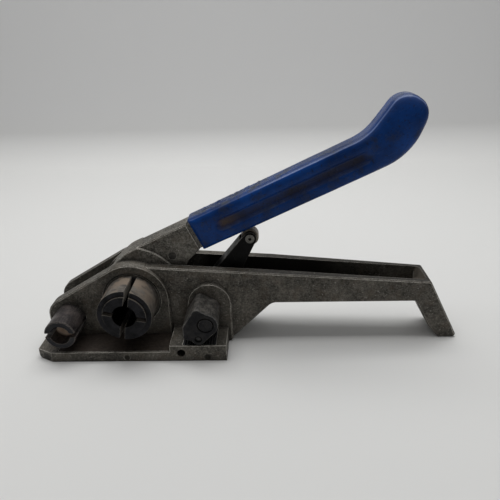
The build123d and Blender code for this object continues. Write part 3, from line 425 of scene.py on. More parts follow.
def cast_finish(name, dark, light, rubbed_and_lit, dirt_and_shade, marks=False):
    """Old cast steel: blotched and speckled stain, rubbed edges with painted highlights, and oil
    with painted shade in corners.

    marks adds what only the frame shows."""
    material, tree, shader = new_finish(name)
    broad = use(tree, MOTTLE, Scale=52.0, Low=0.38, High=0.64)
    blotch = use(tree, MOTTLE, Scale=340.0, Low=0.38, High=0.64, Shift=(0.3, 0.1, 0.2))
    speck = use(tree, MOTTLE, Scale=860.0, Low=0.44, High=0.57, Shift=(0.5, 0.9, 0.4))
    glint = use(tree, MOTTLE, Scale=620.0, Low=0.62, High=0.68, Shift=(0.2, 0.4, 0.9))
    brown = use(tree, MOTTLE, Scale=110.0, Low=0.48, High=0.66, Shift=(0.7, 0.2, 0.5))
    green = use(tree, MOTTLE, Scale=150.0, Low=0.52, High=0.70, Shift=(0.1, 0.7, 0.8))
    # rubbed edges, with painted highlights on them
    rub_and_highlight = use(tree, EDGE_WEAR_AND_HIGHLIGHT, Width=0.0008, Breakup=200.0, Amount=1.0)
    # painted shade and oil dirt in corners and under overhangs
    oil_and_shade_in_corners = use(tree, CORNER_OIL_AND_SHADE, Reach=0.009, Breakup=140.0, Amount=1.0)
    # the painted corner shade and oil fade towards the tail
    oil_and_shade = remap(tree, object_place(tree)["X"], *LESS_OIL_AND_SHADE_X, 0.92, 0.35)
    tone = weighted(tree, (broad, 0.40), (blotch, 0.28), (speck, 0.32))
    colour = layered(tree, blend_colour(tree, tone, dark, light),
                     (times(tree, brown, 0.4), (0.080, 0.060, 0.042)),
                     (times(tree, green, 0.2), (0.074, 0.076, 0.060)))
    if marks:
        colour, glint, oil_and_shade, rub_and_highlight = frame_marks(tree, colour, glint, oil_and_shade, rub_and_highlight, dirt_and_shade)
    colour = layered(tree, colour, (times(tree, glint, 0.38), rubbed_and_lit),
                     (times(tree, oil_and_shade_in_corners, oil_and_shade), dirt_and_shade), (rub_and_highlight, rubbed_and_lit))
    rough = remap(tree, speck, 0.0, 1.0, 0.66, 0.46)
    rough = maths(tree, "SUBTRACT", rough, times(tree, rub_and_highlight, 0.12))
    finish_up(tree, shader, colour, rough, shine=0.35, metal=0.3)
    bump(tree, shader, use(tree, CAST_GRAIN, Grit=1500.0, Lumps=260.0, Pits=380.0), 0.75, 0.0003)
    return material


def frame_marks(tree, colour, glint, oil_and_shade, rub_and_highlight, dirt_and_shade):
    """What only the frame shows: dark rail tops, painted shade in the trough, painted light on its
    end wall and plug rings.
    """
    place, normal = object_place(tree), facing(tree)
    x, y, z = place["X"], place["Y"], place["Z"]
    rail_top = times(tree, remap(tree, normal["Z"], 0.8, 0.95), remap(tree, x, *RAIL_TOP_X))
    off_middle = absolute(tree, maths(tree, "ADD", y, -TROUGH_MIDDLE_Y))
    far_inside = times(tree, remap(tree, normal["Y"], -0.5, -0.8),
                       remap(tree, y, *TROUGH_FAR_Y))
    # the trough between the rails is painted near-black as shade
    trough_shade = maths(tree, "MAXIMUM", remap(tree, off_middle, *TROUGH_SIDE), far_inside)
    trough_shade = times(tree, trough_shade, remap(tree, x, *TROUGH_X),
                   remap(tree, x, *TROUGH_TAIL_X, 0.0, 0.95), remap(tree, z, *TROUGH_Z))
    # the wall closing the trough is painted pale as lit, and loses its painted corner shade
    lit_end_wall = times(tree, remap(tree, normal["X"], -0.15, -0.5),
                     remap(tree, x, *END_WALL_X), remap(tree, z, *END_WALL_Z))
    colour = layered(tree, colour, (times(tree, rail_top, 0.78), (0.016, 0.014, 0.011)),
                     (trough_shade, (0.0045, 0.0035, 0.0025)),
                     (times(tree, lit_end_wall, 0.85), (0.27, 0.24, 0.20)))
    glint = times(tree, glint, inverse(tree, trough_shade))
    oil_and_shade = times(tree, oil_and_shade, inverse(tree, lit_end_wall))
    rub_and_highlight = times(tree, rub_and_highlight, remap(tree, rail_top, 0.0, 1.0, 1.0, 0.35))
    centres, radius = plug_places()
    toe = (cad_box[0][0] + TOE_PLUG * radius, 0, centres[0][2])
    for centre in centres + [toe]:
        ring = use(tree, ROUND_MARK, Centre=centre, Radius=radius, Wall=0.0002, Fade=0.0005)
        colour = blend_colour(tree, times(tree, ring, 0.8), colour, dirt_and_shade)
        near = use(tree, ROUND_MARK, Centre=centre, Radius=radius + 0.0006, Fade=0.0008)
        rub_and_highlight = times(tree, rub_and_highlight, inverse(tree, near))
    hole = next(m for m in record["mounts"] if m["name"] == "side_hole")
    near = use(tree, ROUND_MARK, Centre=tuple(hole["pos_m"]), Radius=0.0040, Fade=0.0008)
    rub_and_highlight = times(tree, rub_and_highlight, inverse(tree, near))
    spot = use(tree, ROUND_MARK, Centre=toe, Radius=radius * 0.9, Fade=0.0008)
    colour = blend_colour(tree, times(tree, spot, 0.7), colour, (0.014, 0.012, 0.010))
    return colour, glint, oil_and_shade, rub_and_highlight


def machined_finish(name, dark, light, rubbed_and_lit, dirt_and_shade, metal=0.7, rough=(0.3, 0.5),
                    line_turn=(0, 0, 0), scale=180.0, shine=0.3, front=None, rings=(),
                    bore_light=None):
    """Cut or ground steel gone dull: stains, scratches, worn edges with painted highlights, dirt
    with painted shade in corners.

    front is a darker colour painted on its front face as shade, rings are dark joint lines on it
    (centre, radius), and the bore light is (centre, radius, y, colour): painted light in a bore
    from that y on."""
    material, tree, shader = new_finish(name)
    stain = use(tree, MOTTLE, Scale=scale, Low=0.38, High=0.66, Shift=(0.2, 0.6, 0.1))
    grit = use(tree, MOTTLE, Scale=900.0, Low=0.44, High=0.6, Shift=(0.4, 0.3, 0.7))
    lines = use(tree, SCRATCHES, Across=2200.0, Along=90.0, Turn=line_turn, Low=0.5, High=0.75)
    # worn edges with painted highlights
    rub_and_highlight = use(tree, EDGE_WEAR_AND_HIGHLIGHT, Width=0.0006, Breakup=420.0, Amount=0.9)
    # painted shade and dirt in corners
    oil_and_shade_in_corners = use(tree, CORNER_OIL_AND_SHADE, Reach=0.004, Breakup=240.0, Amount=0.7)
    tone = weighted(tree, (stain, 0.65), (grit, 0.35))
    colour = blend_colour(tree, tone, dark, light)
    colour = blend_colour(tree, times(tree, lines, 0.3), colour, rubbed_and_lit)
    if front:
        # faces turned to the front get a darker colour: painted shade
        shaded_front = remap(tree, facing(tree)["Y"], -0.75, -0.95)
        colour = blend_colour(tree, times(tree, shaded_front, 0.85), colour, front)
    colour = layered(tree, colour, (oil_and_shade_in_corners, dirt_and_shade), (rub_and_highlight, rubbed_and_lit))
    for centre, radius in rings:
        ring = use(tree, ROUND_MARK, Centre=centre, Radius=radius, Wall=0.0004, Fade=0.0004)
        colour = blend_colour(tree, ring, colour, (0.0005, 0.0005, 0.0005))
    if bore_light:
        centre, radius, from_y, bore_light_colour = bore_light
        # painted light inside the bore from the given depth on
        bore = use(tree, ROUND_MARK, Centre=centre, Radius=radius, Fade=0.0002)
        deep = times(tree, bore, remap(tree, object_place(tree)["Y"], from_y - 0.003, from_y))
        colour = blend_colour(tree, deep, colour, bore_light_colour)
    finish_up(tree, shader, colour, remap(tree, stain, 0.0, 1.0, *reversed(rough)), shine, metal)
    bump(tree, shader, lines, 0.25, 0.00008)
    return material


def windlass_finish():
    """Turned drum: bluish rings on its end under painted shade, brown film and tan rubbed patches
    on top, painted light on its slot's walls and painted shade in its bore.
    """
    material, tree, shader = new_finish("windlass_steel")
    centre = joint_at["windlass_spin"]
    axis = tuple(centre)
    stain = use(tree, MOTTLE, Scale=130.0, Low=0.36, High=0.66, Shift=(0.9, 0.4, 0.3))
    tan = use(tree, MOTTLE, Scale=70.0, Low=0.44, High=0.58, Shift=(0.15, 0.8, 0.45))
    rings = use(tree, TURNING_MARKS, Centre=axis, Pitch=0.0009)
    # worn edges with painted highlights
    rub_and_highlight = use(tree, EDGE_WEAR_AND_HIGHLIGHT, Width=0.0006, Breakup=420.0, Amount=0.8)
    # near-black painted shade in the slots and corners, with dirt
    oil_and_shade_in_corners = use(tree, CORNER_OIL_AND_SHADE, Reach=0.0028, Breakup=240.0, Amount=0.85)
    place, normal = object_place(tree), facing(tree)
    # the end face is given darker colours as painted shade
    shaded_end_face = remap(tree, normal["Y"], -0.7, -0.95)
    upper = remap(tree, place["Z"], centre.z - 0.004, centre.z + 0.018)
    across = put(tree, "ShaderNodeVectorMath", operation="DOT_PRODUCT")
    wire(tree, put(tree, "ShaderNodeTexCoord").outputs["Normal"], across.inputs[0])
    across.inputs[1].default_value = (cos(SLOT_LEAN), 0, -sin(SLOT_LEAN))
    # the slot's walls are painted pale as lit
    hub = use(tree, ROUND_MARK, Centre=axis, Radius=SLOT_HUB_R, Fade=0.0015)
    rim = use(tree, ROUND_MARK, Centre=axis, Radius=SLOT_RIM_R, Fade=0.0002)
    lit_slot_wall = times(tree, remap(tree, across.outputs["Value"], 0.96, 0.99),
                      maths(tree, "SUBTRACT", rim, hub, clamp=True),
                      remap(tree, place["Z"], centre.z, centre.z + 0.004))
    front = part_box("windlass_drum")[0][1]
    # the bore is painted black as shade
    bore = times(tree, use(tree, ROUND_MARK, Centre=axis, Radius=BORE_R, Fade=0.0002),
                 remap(tree, place["Y"], *(front + depth for depth in BORE_DEPTH)))
    body = blend_colour(tree, stain, (0.068, 0.062, 0.056), (0.176, 0.159, 0.140))
    body = blend_colour(tree, times(tree, tan, upper, 0.9), body, (0.222, 0.178, 0.140))
    # the end face's colours, darkened as painted shade
    face = blend_colour(tree, stain, (0.005, 0.0054, 0.0064), (0.015, 0.015, 0.0178))
    turned = times(tree, remap(tree, rings, 0.3, 1.0), 0.07)
    colour = layered(tree, blend_colour(tree, shaded_end_face, body, face),
                     (turned, (0.25, 0.24, 0.23)), (oil_and_shade_in_corners, (0.002, 0.002, 0.002)),
                     (rub_and_highlight, (0.26, 0.24, 0.21)),
                     (times(tree, lit_slot_wall, 0.9), (0.34, 0.32, 0.285)),
                     (bore, (0.0008, 0.0008, 0.0008)))
    finish_up(tree, shader, colour, remap(tree, stain, 0.0, 1.0, 0.52, 0.36), shine=0.06,
              metal=0.35)
    bump(tree, shader, rings, 0.22, 0.00006)
    return material


def along_handle(tree):
    """Distances along and across the handle from the windlass axis."""
    mapping = put(tree, "ShaderNodeMapping", vector_type="TEXTURE")
    mapping.inputs["Location"].default_value = joint_at["handle_swing"]
    mapping.inputs["Rotation"].default_value = (0, -HANDLE_SLOPE, 0)
    wire(tree, object_coords(tree), mapping.inputs["Vector"])
    split = put(tree, "ShaderNodeSeparateXYZ")
    wire(tree, mapping.outputs["Vector"], split.inputs[0])
    return split.outputs["X"], split.outputs["Z"]


def vinyl_finish():
    """Dipped vinyl: glossy deep blue, hazed by scuffs, brown dirt pressed in the groove; painted
    highlights along its upper edges, on the groove's lower lip and on top of its tip.
    """
    material, tree, shader = new_finish("blue_vinyl")
    fade = use(tree, MOTTLE, Scale=32.0, Low=0.35, High=0.68, Shift=(0.4, 0.2, 0.9))
    smear = use(tree, MOTTLE, Scale=85.0, Low=0.50, High=0.68, Shift=(0.1, 0.5, 0.6))
    specks = use(tree, MOTTLE, Scale=520.0, Low=0.56, High=0.66, Shift=(0.6, 0.6, 0.2))
    scuffs = use(tree, SCRATCHES, Across=1100.0, Along=70.0, Turn=(0, HANDLE_SLOPE, 0),
                 Low=0.6, High=0.76)
    along, across = along_handle(tree)
    off_middle = absolute(tree, maths(tree, "SUBTRACT", across, GROOVE_ACROSS))
    ragged = maths(tree, "ADD", off_middle, times(tree, smear, 0.0015))
    in_groove = times(tree, remap(tree, ragged, 0.0052, 0.0018),
                      remap(tree, along, GROOVE_FROM - 0.004, GROOVE_FROM + 0.002),
                      remap(tree, along, GROOVE_TO + 0.004, GROOVE_TO - 0.002))
    pressed = times(tree, in_groove, remap(tree, fade, 0.0, 1.0, 0.75, 0.42))
    ochre = times(tree, in_groove, remap(tree, along, GROOVE_FROM + 0.016, GROOVE_FROM), 0.6)
    normal = facing(tree)
    upward, sideways = normal["Z"], absolute(tree, normal["Y"])
    turned = absolute(tree, maths(tree, "SUBTRACT", sideways, 0.62))
    # a thin painted highlight along the upper edges
    ridge_highlight = times(tree, remap(tree, turned, 0.11, 0.03), remap(tree, upward, 0.3, 0.5),
                  remap(tree, fade, 0.0, 1.0, 0.45, 0.95),
                  remap(tree, along, 0.122, 0.136, 0.3, 1.0))
    # painted light on the upward faces of the tip
    lit_crown = times(tree, remap(tree, upward, 0.2, 0.8), remap(tree, along, 0.200, 0.216),
                  remap(tree, smear, 0.0, 1.0, 0.55, 0.25))
    # painted highlight on the groove's lower lip
    lip_highlight = times(tree, remap(tree, upward, 0.26, 0.42), remap(tree, off_middle, 0.0056, 0.0048),
                remap(tree, fade, 0.2, 0.8, 0.25, 1.0), remap(tree, sideways, 0.4, 0.6), 0.55)
    grime = times(tree, remap(tree, upward, 0.6, 0.85), remap(tree, smear, 0.0, 1.0, 0.25, 0.75))
    colour = layered(tree, blend_colour(tree, fade, (0.001, 0.020, 0.100), (0.003, 0.042, 0.200)),
                     (times(tree, scuffs, 0.15), (0.04, 0.08, 0.20)),
                     (times(tree, smear, 0.6), (0.018, 0.022, 0.034)),
                     (times(tree, specks, 0.6), (0.010, 0.010, 0.013)),
                     (pressed, (0.016, 0.012, 0.011)), (ochre, (0.10, 0.060, 0.020)),
                     (lit_crown, (0.062, 0.092, 0.210)), (ridge_highlight, (0.20, 0.27, 0.50)),
                     (lip_highlight, (0.075, 0.085, 0.125)), (grime, (0.060, 0.066, 0.078)))
    haze = maths(tree, "MAXIMUM", scuffs, smear)
    finish_up(tree, shader, colour, remap(tree, haze, 0.0, 1.0, 0.2, 0.42), shine=0.14)
    waves = put(tree, "ShaderNodeTexNoise", Scale=75.0, Detail=3.0, Roughness=0.5)
    wire(tree, object_coords(tree), waves.inputs["Vector"])
    height = maths(tree, "ADD", waves.outputs[0], times(tree, scuffs, -0.06))
    bump(tree, shader, height, 0.35, 0.0008)
    return material


def black_sheet_finish():
    """Black oxide on folded sheet, worn to steel along its edges, with painted highlights there.
    """
    material, tree, shader = new_finish("black_oxide_sheet")
    stain = use(tree, MOTTLE, Scale=150.0, Low=0.4, High=0.7)
    lines = use(tree, SCRATCHES, Across=1500.0, Along=80.0, Turn=(0, radians(-62), 0),
                Low=0.64, High=0.8)
    # worn edges with painted highlights
    rub_and_highlight = use(tree, EDGE_WEAR_AND_HIGHLIGHT, Width=0.0009, Breakup=350.0, Amount=1.0)
    colour = layered(tree, blend_colour(tree, stain, (0.002, 0.002, 0.002), (0.006, 0.006, 0.006)),
                     (times(tree, lines, 0.5), (0.06, 0.057, 0.054)), (rub_and_highlight, (0.16, 0.15, 0.135)))
    finish_up(tree, shader, colour, remap(tree, stain, 0.0, 1.0, 0.4, 0.55), shine=0.08)
    wire(tree, remap(tree, rub_and_highlight, 0.0, 1.0, 0.0, 0.6), shader.inputs["Metallic"])
    bump(tree, shader, stain, 0.12, 0.0002)
    return material


# Where the cam meets its shaft and its pin, and the part of the tube's bore painted as lit.
cam_centre = tuple(joint_at["gripper_swing"])
pin_low, pin_high = (Vector(corner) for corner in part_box("cam_pin"))
pin_centre = tuple((pin_low + pin_high) / 2)
tube_low, tube_high = (Vector(corner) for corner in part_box("guide_tube"))
tube_centre = tuple((tube_low + tube_high) / 2)
CAM_JOINT_LINES = ((cam_centre, 0.0058), (pin_centre, 0.0023))
# painted light inside the tube's bore
TUBE_BORE_LIGHT = (tube_centre, 0.0079, tube_low.y + 0.014, (0.80, 0.70, 0.61))
FINISHES = {
    "cast_frame": cast_finish(
        "worn_casting", dark=(0.021, 0.019, 0.015), light=(0.146, 0.133, 0.112),
        rubbed_and_lit=(0.62, 0.59, 0.53), dirt_and_shade=(0.004, 0.003, 0.002), marks=True),
    "cast_handle": cast_finish(
        "handle_casting", dark=(0.024, 0.022, 0.018), light=(0.225, 0.211, 0.182),
        rubbed_and_lit=(0.62, 0.59, 0.53), dirt_and_shade=(0.006, 0.005, 0.004)),
    "wear_steel": machined_finish(
        "strap_polished_plate", dark=(0.026, 0.020, 0.016), light=(0.062, 0.049, 0.040),
        rubbed_and_lit=(0.12, 0.10, 0.085), dirt_and_shade=(0.004, 0.003, 0.003), metal=0.4,
        rough=(0.38, 0.55)),
    "tool_steel": machined_finish(
        "toothed_plate_steel", dark=(0.020, 0.020, 0.022), light=(0.050, 0.051, 0.054),
        rubbed_and_lit=(0.18, 0.18, 0.18), dirt_and_shade=(0.004, 0.004, 0.004)),
    "plug_steel": machined_finish(
        "plug_steel", dark=(0.010, 0.009, 0.007), light=(0.034, 0.030, 0.024),
        rubbed_and_lit=(0.06, 0.055, 0.048), dirt_and_shade=(0.004, 0.004, 0.003)),
    "worn_steel": machined_finish(
        "guide_tube_steel", dark=(0.012, 0.011, 0.012), light=(0.085, 0.071, 0.067),
        rubbed_and_lit=(0.22, 0.20, 0.18), dirt_and_shade=(0.003, 0.003, 0.003), metal=0.4,
        rough=(0.34, 0.52), line_turn=(0, 0, pi / 2), scale=110.0, shine=0.2,
        # its front face painted darker as shade
        front=(0.012, 0.013, 0.016), bore_light=TUBE_BORE_LIGHT),
    "drum_steel": windlass_finish(),
    "dark_steel": machined_finish(
        "ratchet_steel", dark=(0.022, 0.021, 0.020), light=(0.060, 0.057, 0.053),
        rubbed_and_lit=(0.22, 0.21, 0.19), dirt_and_shade=(0.008, 0.007, 0.006)),
    "pin_steel": machined_finish(
        "pin_steel", dark=(0.012, 0.011, 0.010), light=(0.050, 0.046, 0.041),
        rubbed_and_lit=(0.16, 0.15, 0.135), dirt_and_shade=(0.002, 0.002, 0.002)),
    "black_spring": machined_finish(
        "black_spring_wire", dark=(0.010, 0.010, 0.010), light=(0.030, 0.029, 0.028),
        rubbed_and_lit=(0.12, 0.115, 0.11), dirt_and_shade=(0.005, 0.005, 0.005), metal=0.3),
    "cam_steel": machined_finish(
        "cam_steel", dark=(0.026, 0.025, 0.024), light=(0.132, 0.122, 0.109),
        rubbed_and_lit=(0.20, 0.20, 0.195), dirt_and_shade=(0.003, 0.003, 0.003), metal=0.35,
        rough=(0.36, 0.5), line_turn=(0, 0, pi / 2), scale=240.0, shine=0.08,
        # its front face painted darker as shade
        front=(0.0075, 0.008, 0.010), rings=CAM_JOINT_LINES),
    "black_sheet": black_sheet_finish(),
    "roller_steel": machined_finish(
        "roller_steel", dark=(0.13, 0.112, 0.090), light=(0.26, 0.235, 0.20),
        rubbed_and_lit=(0.52, 0.48, 0.42), dirt_and_shade=(0.030, 0.024, 0.018), metal=0.6, rough=(0.3, 0.45)),
    "rivet_steel": machined_finish(
        "rivet_steel", dark=(0.07, 0.067, 0.060), light=(0.15, 0.145, 0.132),
        rubbed_and_lit=(0.30, 0.29, 0.27), dirt_and_shade=(0.006, 0.005, 0.005), rough=(0.28, 0.42)),
    "blue_vinyl": vinyl_finish(),
}


def dress_castings_and_steel():
    """Each CAD piece takes the finish of its own material slot."""
    for part in record["subparts"]:
        piece = frame["nodes"][part["node"]]
        piece.data.materials.clear()
        piece.data.materials.append(FINISHES[part["material_slot"]])


# ---------------------------------------------------------------- made pieces
def plain_mesh(obj, name):
    """The evaluated object as a mesh of its own."""
    ready = obj.evaluated_get(bpy.context.evaluated_depsgraph_get())
    mesh = bpy.data.meshes.new_from_object(ready)
    mesh.name = name
    return mesh


def place_mesh(mesh, name):
    obj = bpy.data.objects.new(name, mesh)
    bpy.context.scene.collection.objects.link(obj)
    return obj


def welded_copy(node, name):
    """A CAD piece's mesh with its loose triangles joined."""
    mesh = frame["nodes"][node].data.copy()
    shape = bmesh.new()
    shape.from_mesh(mesh)
    bmesh.ops.remove_doubles(shape, verts=shape.verts, dist=1e-6)
    shape.to_mesh(mesh)
    shape.free()
    return place_mesh(mesh, name)


def casting_skin():
    """The frame casting is one pour, so its five members get one unbroken skin."""
    members = ("frame_base", "near_wall", "far_wall", "tail_rails", "tail_foot")
    copies = [welded_copy(node, node + "_copy") for node in members]
    whole = copies[0]
    for other in copies[1:]:
        join = whole.modifiers.new("join_" + other.name, "BOOLEAN")
        join.operation = "UNION"
        join.solver = "EXACT"
        join.object = other
    mesh = plain_mesh(whole, "casting_skin")
    for copy in copies:
        bpy.data.objects.remove(copy)
    shape = bmesh.new()
    shape.from_mesh(mesh)
    bmesh.ops.dissolve_limit(shape, angle_limit=radians(0.5), verts=shape.verts,
                             edges=shape.edges)
    bmesh.ops.triangulate(shape, faces=shape.faces)
    shape.to_mesh(mesh)
    shape.free()
    mesh.materials.clear()
    mesh.materials.append(FINISHES["cast_frame"])
    skin = place_mesh(mesh, "casting_skin")
    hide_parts(*members)
    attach(skin, "frame")


def sleeve_wear(point, out, torn):
    """The move that roughens one point of the sleeve and tears its top edge."""
    swell = noise.noise(point * 55.0) * 0.10 + noise.noise(point * 170.0) * 0.045
    flecks = noise.noise(point * 420.0)
    tear = (max(0.0, flecks - 0.16) * 1.7 - max(0.0, -flecks - 0.25) * 1.2) * torn
    return out * (swell - tear) * MM


def vinyl_sleeve():
    """The sleeve in dipped vinyl: soft corners, bulbous tip, torn top edge, rolled mouth."""
    rough = welded_copy("handle_grip", "sleeve_rough")
    melt = rough.modifiers.new("even_faces", "REMESH")
    melt.mode = "VOXEL"
    melt.voxel_size = 0.0009
    soften = rough.modifiers.new("soft_corners", "SMOOTH")
    soften.factor = 0.5
    soften.iterations = 8
    bulb = place_mesh(plain_mesh(rough, "sleeve_bulb"), "sleeve_bulb")
    bpy.data.objects.remove(rough)
    hub = joint_at["handle_swing"]
    slope = Vector((cos(HANDLE_SLOPE), 0, sin(HANDLE_SLOPE)))
    rise = Vector((-slope.z, 0, slope.x))
    spots = [(v.co - hub).dot(slope) for v in bulb.data.vertices]
    tip_weights = [min(1.0, max(0.0, (along - TIP_FROM) / TIP_BLEND)) for along in spots]
    tip = bulb.vertex_groups.new(name="tip")
    for i, weight in enumerate(tip_weights):
        tip.add([i], weight, "REPLACE")
    pillow = bulb.modifiers.new("round_tip", "SMOOTH")
    pillow.use_x = pillow.use_z = False
    pillow.factor = 0.5
    pillow.iterations = 420
    pillow.vertex_group = "tip"
    mesh = plain_mesh(bulb, "vinyl_sleeve")
    bpy.data.objects.remove(bulb)
    mesh.materials.clear()
    mesh.materials.append(FINISHES["blue_vinyl"])
    for vertex, weight in zip(mesh.vertices, tip_weights):
        vertex.co.y *= 1.0 + TIP_SWELL * weight
    mesh.update()
    normals = [v.normal.copy() for v in mesh.vertices]
    for vertex, out, along in zip(mesh.vertices, normals, spots):
        on_top = (vertex.co - hub).dot(rise) > GROOVE_ACROSS + TORN_ABOVE
        torn = TORN_FROM < along < TORN_TO and on_top and vertex.co.y > TORN_PAST_Y
        vertex.co += sleeve_wear(vertex.co, out, torn)
    for face in mesh.polygons:
        face.use_smooth = True
    sleeve = place_mesh(mesh, "vinyl_sleeve")
    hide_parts("handle_grip")
    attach(sleeve, "handle")


def coil_tree():
    """One wire bent from a hook through a straight leg, a close coil and a second straight leg."""
    tree = bpy.data.node_groups.new("coil_spring", "GeometryNodeTree")
    wanted = [("Points", "NodeSocketInt", 220), ("Centre", VECTOR, (0, 0, 0)),
              ("Coil Radius", FLOAT, 0.005), ("Wire Radius", FLOAT, 0.0006),
              ("First Y", FLOAT, 0.0), ("Last Y", FLOAT, 0.01),
              ("First Angle", FLOAT, 0.0), ("Last Angle", FLOAT, 20.0),
              ("Hook End", VECTOR, (0, 0, 0)), ("First Tip", VECTOR, (0, 0, 0)),
              ("Last Tip", VECTOR, (0, 0, 0)), ("Finish", "NodeSocketMaterial", None)]
    for label, kind, value in wanted:
        socket = tree.interface.new_socket(name=label, in_out="INPUT", socket_type=kind)
        if value is not None:
            socket.default_value = value
    tree.interface.new_socket(name="Geometry", in_out="OUTPUT", socket_type="NodeSocketGeometry")
    given, out = put(tree, "NodeGroupInput"), put(tree, "NodeGroupOutput")

    line = put(tree, "GeometryNodeCurvePrimitiveLine")
    beads = put(tree, "GeometryNodeResampleCurve")
    wire(tree, line.outputs[0], beads.inputs["Curve"])
    wire(tree, given.outputs["Points"], beads.inputs["Count"])
    index = put(tree, "GeometryNodeInputIndex").outputs[0]
    last = maths(tree, "SUBTRACT", given.outputs["Points"], 1.0)
    share = maths(tree, "DIVIDE", maths(tree, "SUBTRACT", index, 2.0),
                  maths(tree, "SUBTRACT", last, 3.0))

    def between(first, second):
        span = maths(tree, "SUBTRACT", given.outputs[second], given.outputs[first])
        return maths(tree, "ADD", given.outputs[first], times(tree, span, share))

    angle, depth = between("First Angle", "Last Angle"), between("First Y", "Last Y")
    spot = put(tree, "ShaderNodeCombineXYZ")
    radius = given.outputs["Coil Radius"]
    wire(tree, times(tree, radius, maths(tree, "COSINE", angle)), spot.inputs["X"])
    wire(tree, depth, spot.inputs["Y"])
    wire(tree, times(tree, radius, maths(tree, "SINE", angle)), spot.inputs["Z"])
    coil = put(tree, "ShaderNodeVectorMath", operation="ADD")
    wire(tree, given.outputs["Centre"], coil.inputs[0])
    wire(tree, spot.outputs[0], coil.inputs[1])
    position = coil.outputs[0]
    for number, tip in ((0.0, "Hook End"), (1.0, "First Tip"), (last, "Last Tip")):
        here = put(tree, "FunctionNodeCompare", data_type="FLOAT", operation="EQUAL")
        here.inputs["Epsilon"].default_value = 0.1
        wire(tree, index, here.inputs[0])
        if isinstance(number, float):
            here.inputs[1].default_value = number
        else:
            wire(tree, number, here.inputs[1])
        choose = put(tree, "GeometryNodeSwitch", input_type="VECTOR")
        wire(tree, here.outputs[0], choose.inputs["Switch"])
        wire(tree, position, choose.inputs["False"])
        wire(tree, given.outputs[tip], choose.inputs["True"])
        position = choose.outputs[0]
    bend = put(tree, "GeometryNodeSetPosition")
    wire(tree, beads.outputs[0], bend.inputs["Geometry"])
    wire(tree, position, bend.inputs["Position"])
    section = put(tree, "GeometryNodeCurvePrimitiveCircle", Resolution=12)
    wire(tree, given.outputs["Wire Radius"], section.inputs["Radius"])
    sweep = put(tree, "GeometryNodeCurveToMesh")
    sweep.inputs["Fill Caps"].default_value = True
    wire(tree, bend.outputs[0], sweep.inputs["Curve"])
    wire(tree, section.outputs[0], sweep.inputs["Profile Curve"])
    real = put(tree, "GeometryNodeRealizeInstances")
    wire(tree, sweep.outputs[0], real.inputs[0])
    coat = put(tree, "GeometryNodeSetMaterial")
    wire(tree, real.outputs[0], coat.inputs["Geometry"])
    wire(tree, given.outputs["Finish"], coat.inputs["Material"])
    wire(tree, coat.outputs[0], out.inputs[0])
    return tree


def coil_spring(node, body, tree, centre, coil, wire_radius, depths, turn, tips, turns,
                hook=None):
    """A torsion spring in place of the plain sleeve that stands for it; sizes in mm.

    centre and tips, where its first and last legs end, are seen from the front; depths are
    the two ends of its coil, turn is +1 or -1 for the way it winds, and hook bends the
    first leg over to that point."""
    first, last = (Vector(tip) - Vector(centre) for tip in tips)
    start = atan2(first.y, first.x) + turn * acos(coil / first.length)
    end = atan2(last.y, last.x) - turn * acos(coil / last.length)
    while turn * (end - start) < 2 * pi * turns:
        end += turn * 2 * pi
    first_tip = Vector((tips[0][0], depths[0], tips[0][1]))
    last_tip = Vector((tips[1][0], depths[1], tips[1][1]))
    away = (first_tip - Vector((centre[0], depths[0], centre[1]))).normalized()
    values = {
        "Centre": Vector((centre[0], 0, centre[1])) * MM, "Coil Radius": coil * MM,
        "Wire Radius": wire_radius * MM, "First Y": depths[0] * MM, "Last Y": depths[1] * MM,
        "First Angle": start, "Last Angle": end,
        "Hook End": Vector(hook) * MM if hook else (first_tip + away * 0.4) * MM,
        "First Tip": first_tip * MM, "Last Tip": last_tip * MM, "Finish": FINISHES["black_spring"]}
    holder = place_mesh(bpy.data.meshes.new(node + "_wire"), node + "_wire")
    modifier = holder.modifiers.new("coil", "NODES")
    modifier.node_group = tree
    sockets = {item.name: item.identifier for item in tree.interface.items_tree
               if item.in_out == "INPUT"}
    for label, value in values.items():
        modifier[sockets[label]] = value
    mesh = plain_mesh(holder, node + "_wire")
    bpy.data.objects.remove(holder)
    for face in mesh.polygons:
        face.use_smooth = True
    spring = place_mesh(mesh, node + "_wire")
    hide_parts(node)
    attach(spring, body)


def leg_end(pivot, nose):
    """Where a pawl spring's leg rests: just past half of the way to the pawl's nose."""
    return pivot + (nose - pivot) * 0.55


def springs():
    """The gripper's spring and the two pawls' springs; sizes in mm."""
    tree = coil_tree()
    coil_spring("gripper_spring", "gripper", tree, centre=(60.4, 31.9), coil=6.55,
                wire_radius=0.75, depths=(7.9, 10.6), turn=-1,
                tips=((80.34, 42.19), (56.0, 9.2)), turns=1.2, hook=(80.34, 4.6, 42.19))
    hub = joint_at["handle_swing"]
    slope = Vector((cos(HANDLE_SLOPE), sin(HANDLE_SLOPE)))
    rise = Vector((-slope.y, slope.x))
    yoke_stop = Vector((hub.x, hub.z)) / MM + slope * 30 + rise * 26.25
    pivot, nose = Vector((33.0, 72.2)), Vector((23.94, 36.06))
    coil_spring("drive_pawl_spring", "drive_pawl", tree, centre=pivot, coil=4.05,
                wire_radius=0.6, depths=(2.1, 4.9), turn=1,
                tips=(leg_end(pivot, nose), yoke_stop), turns=1.5)
    pivot, nose = Vector((37.5, 20.0)), Vector((1.91, 16.22))
    coil_spring("holding_pawl_spring", "holding_pawl", tree, centre=pivot, coil=4.25,
                wire_radius=0.6, depths=(2.1, 10.75), turn=1,
                tips=(leg_end(pivot, nose), Vector((45.5, 9.4))), turns=5.8)


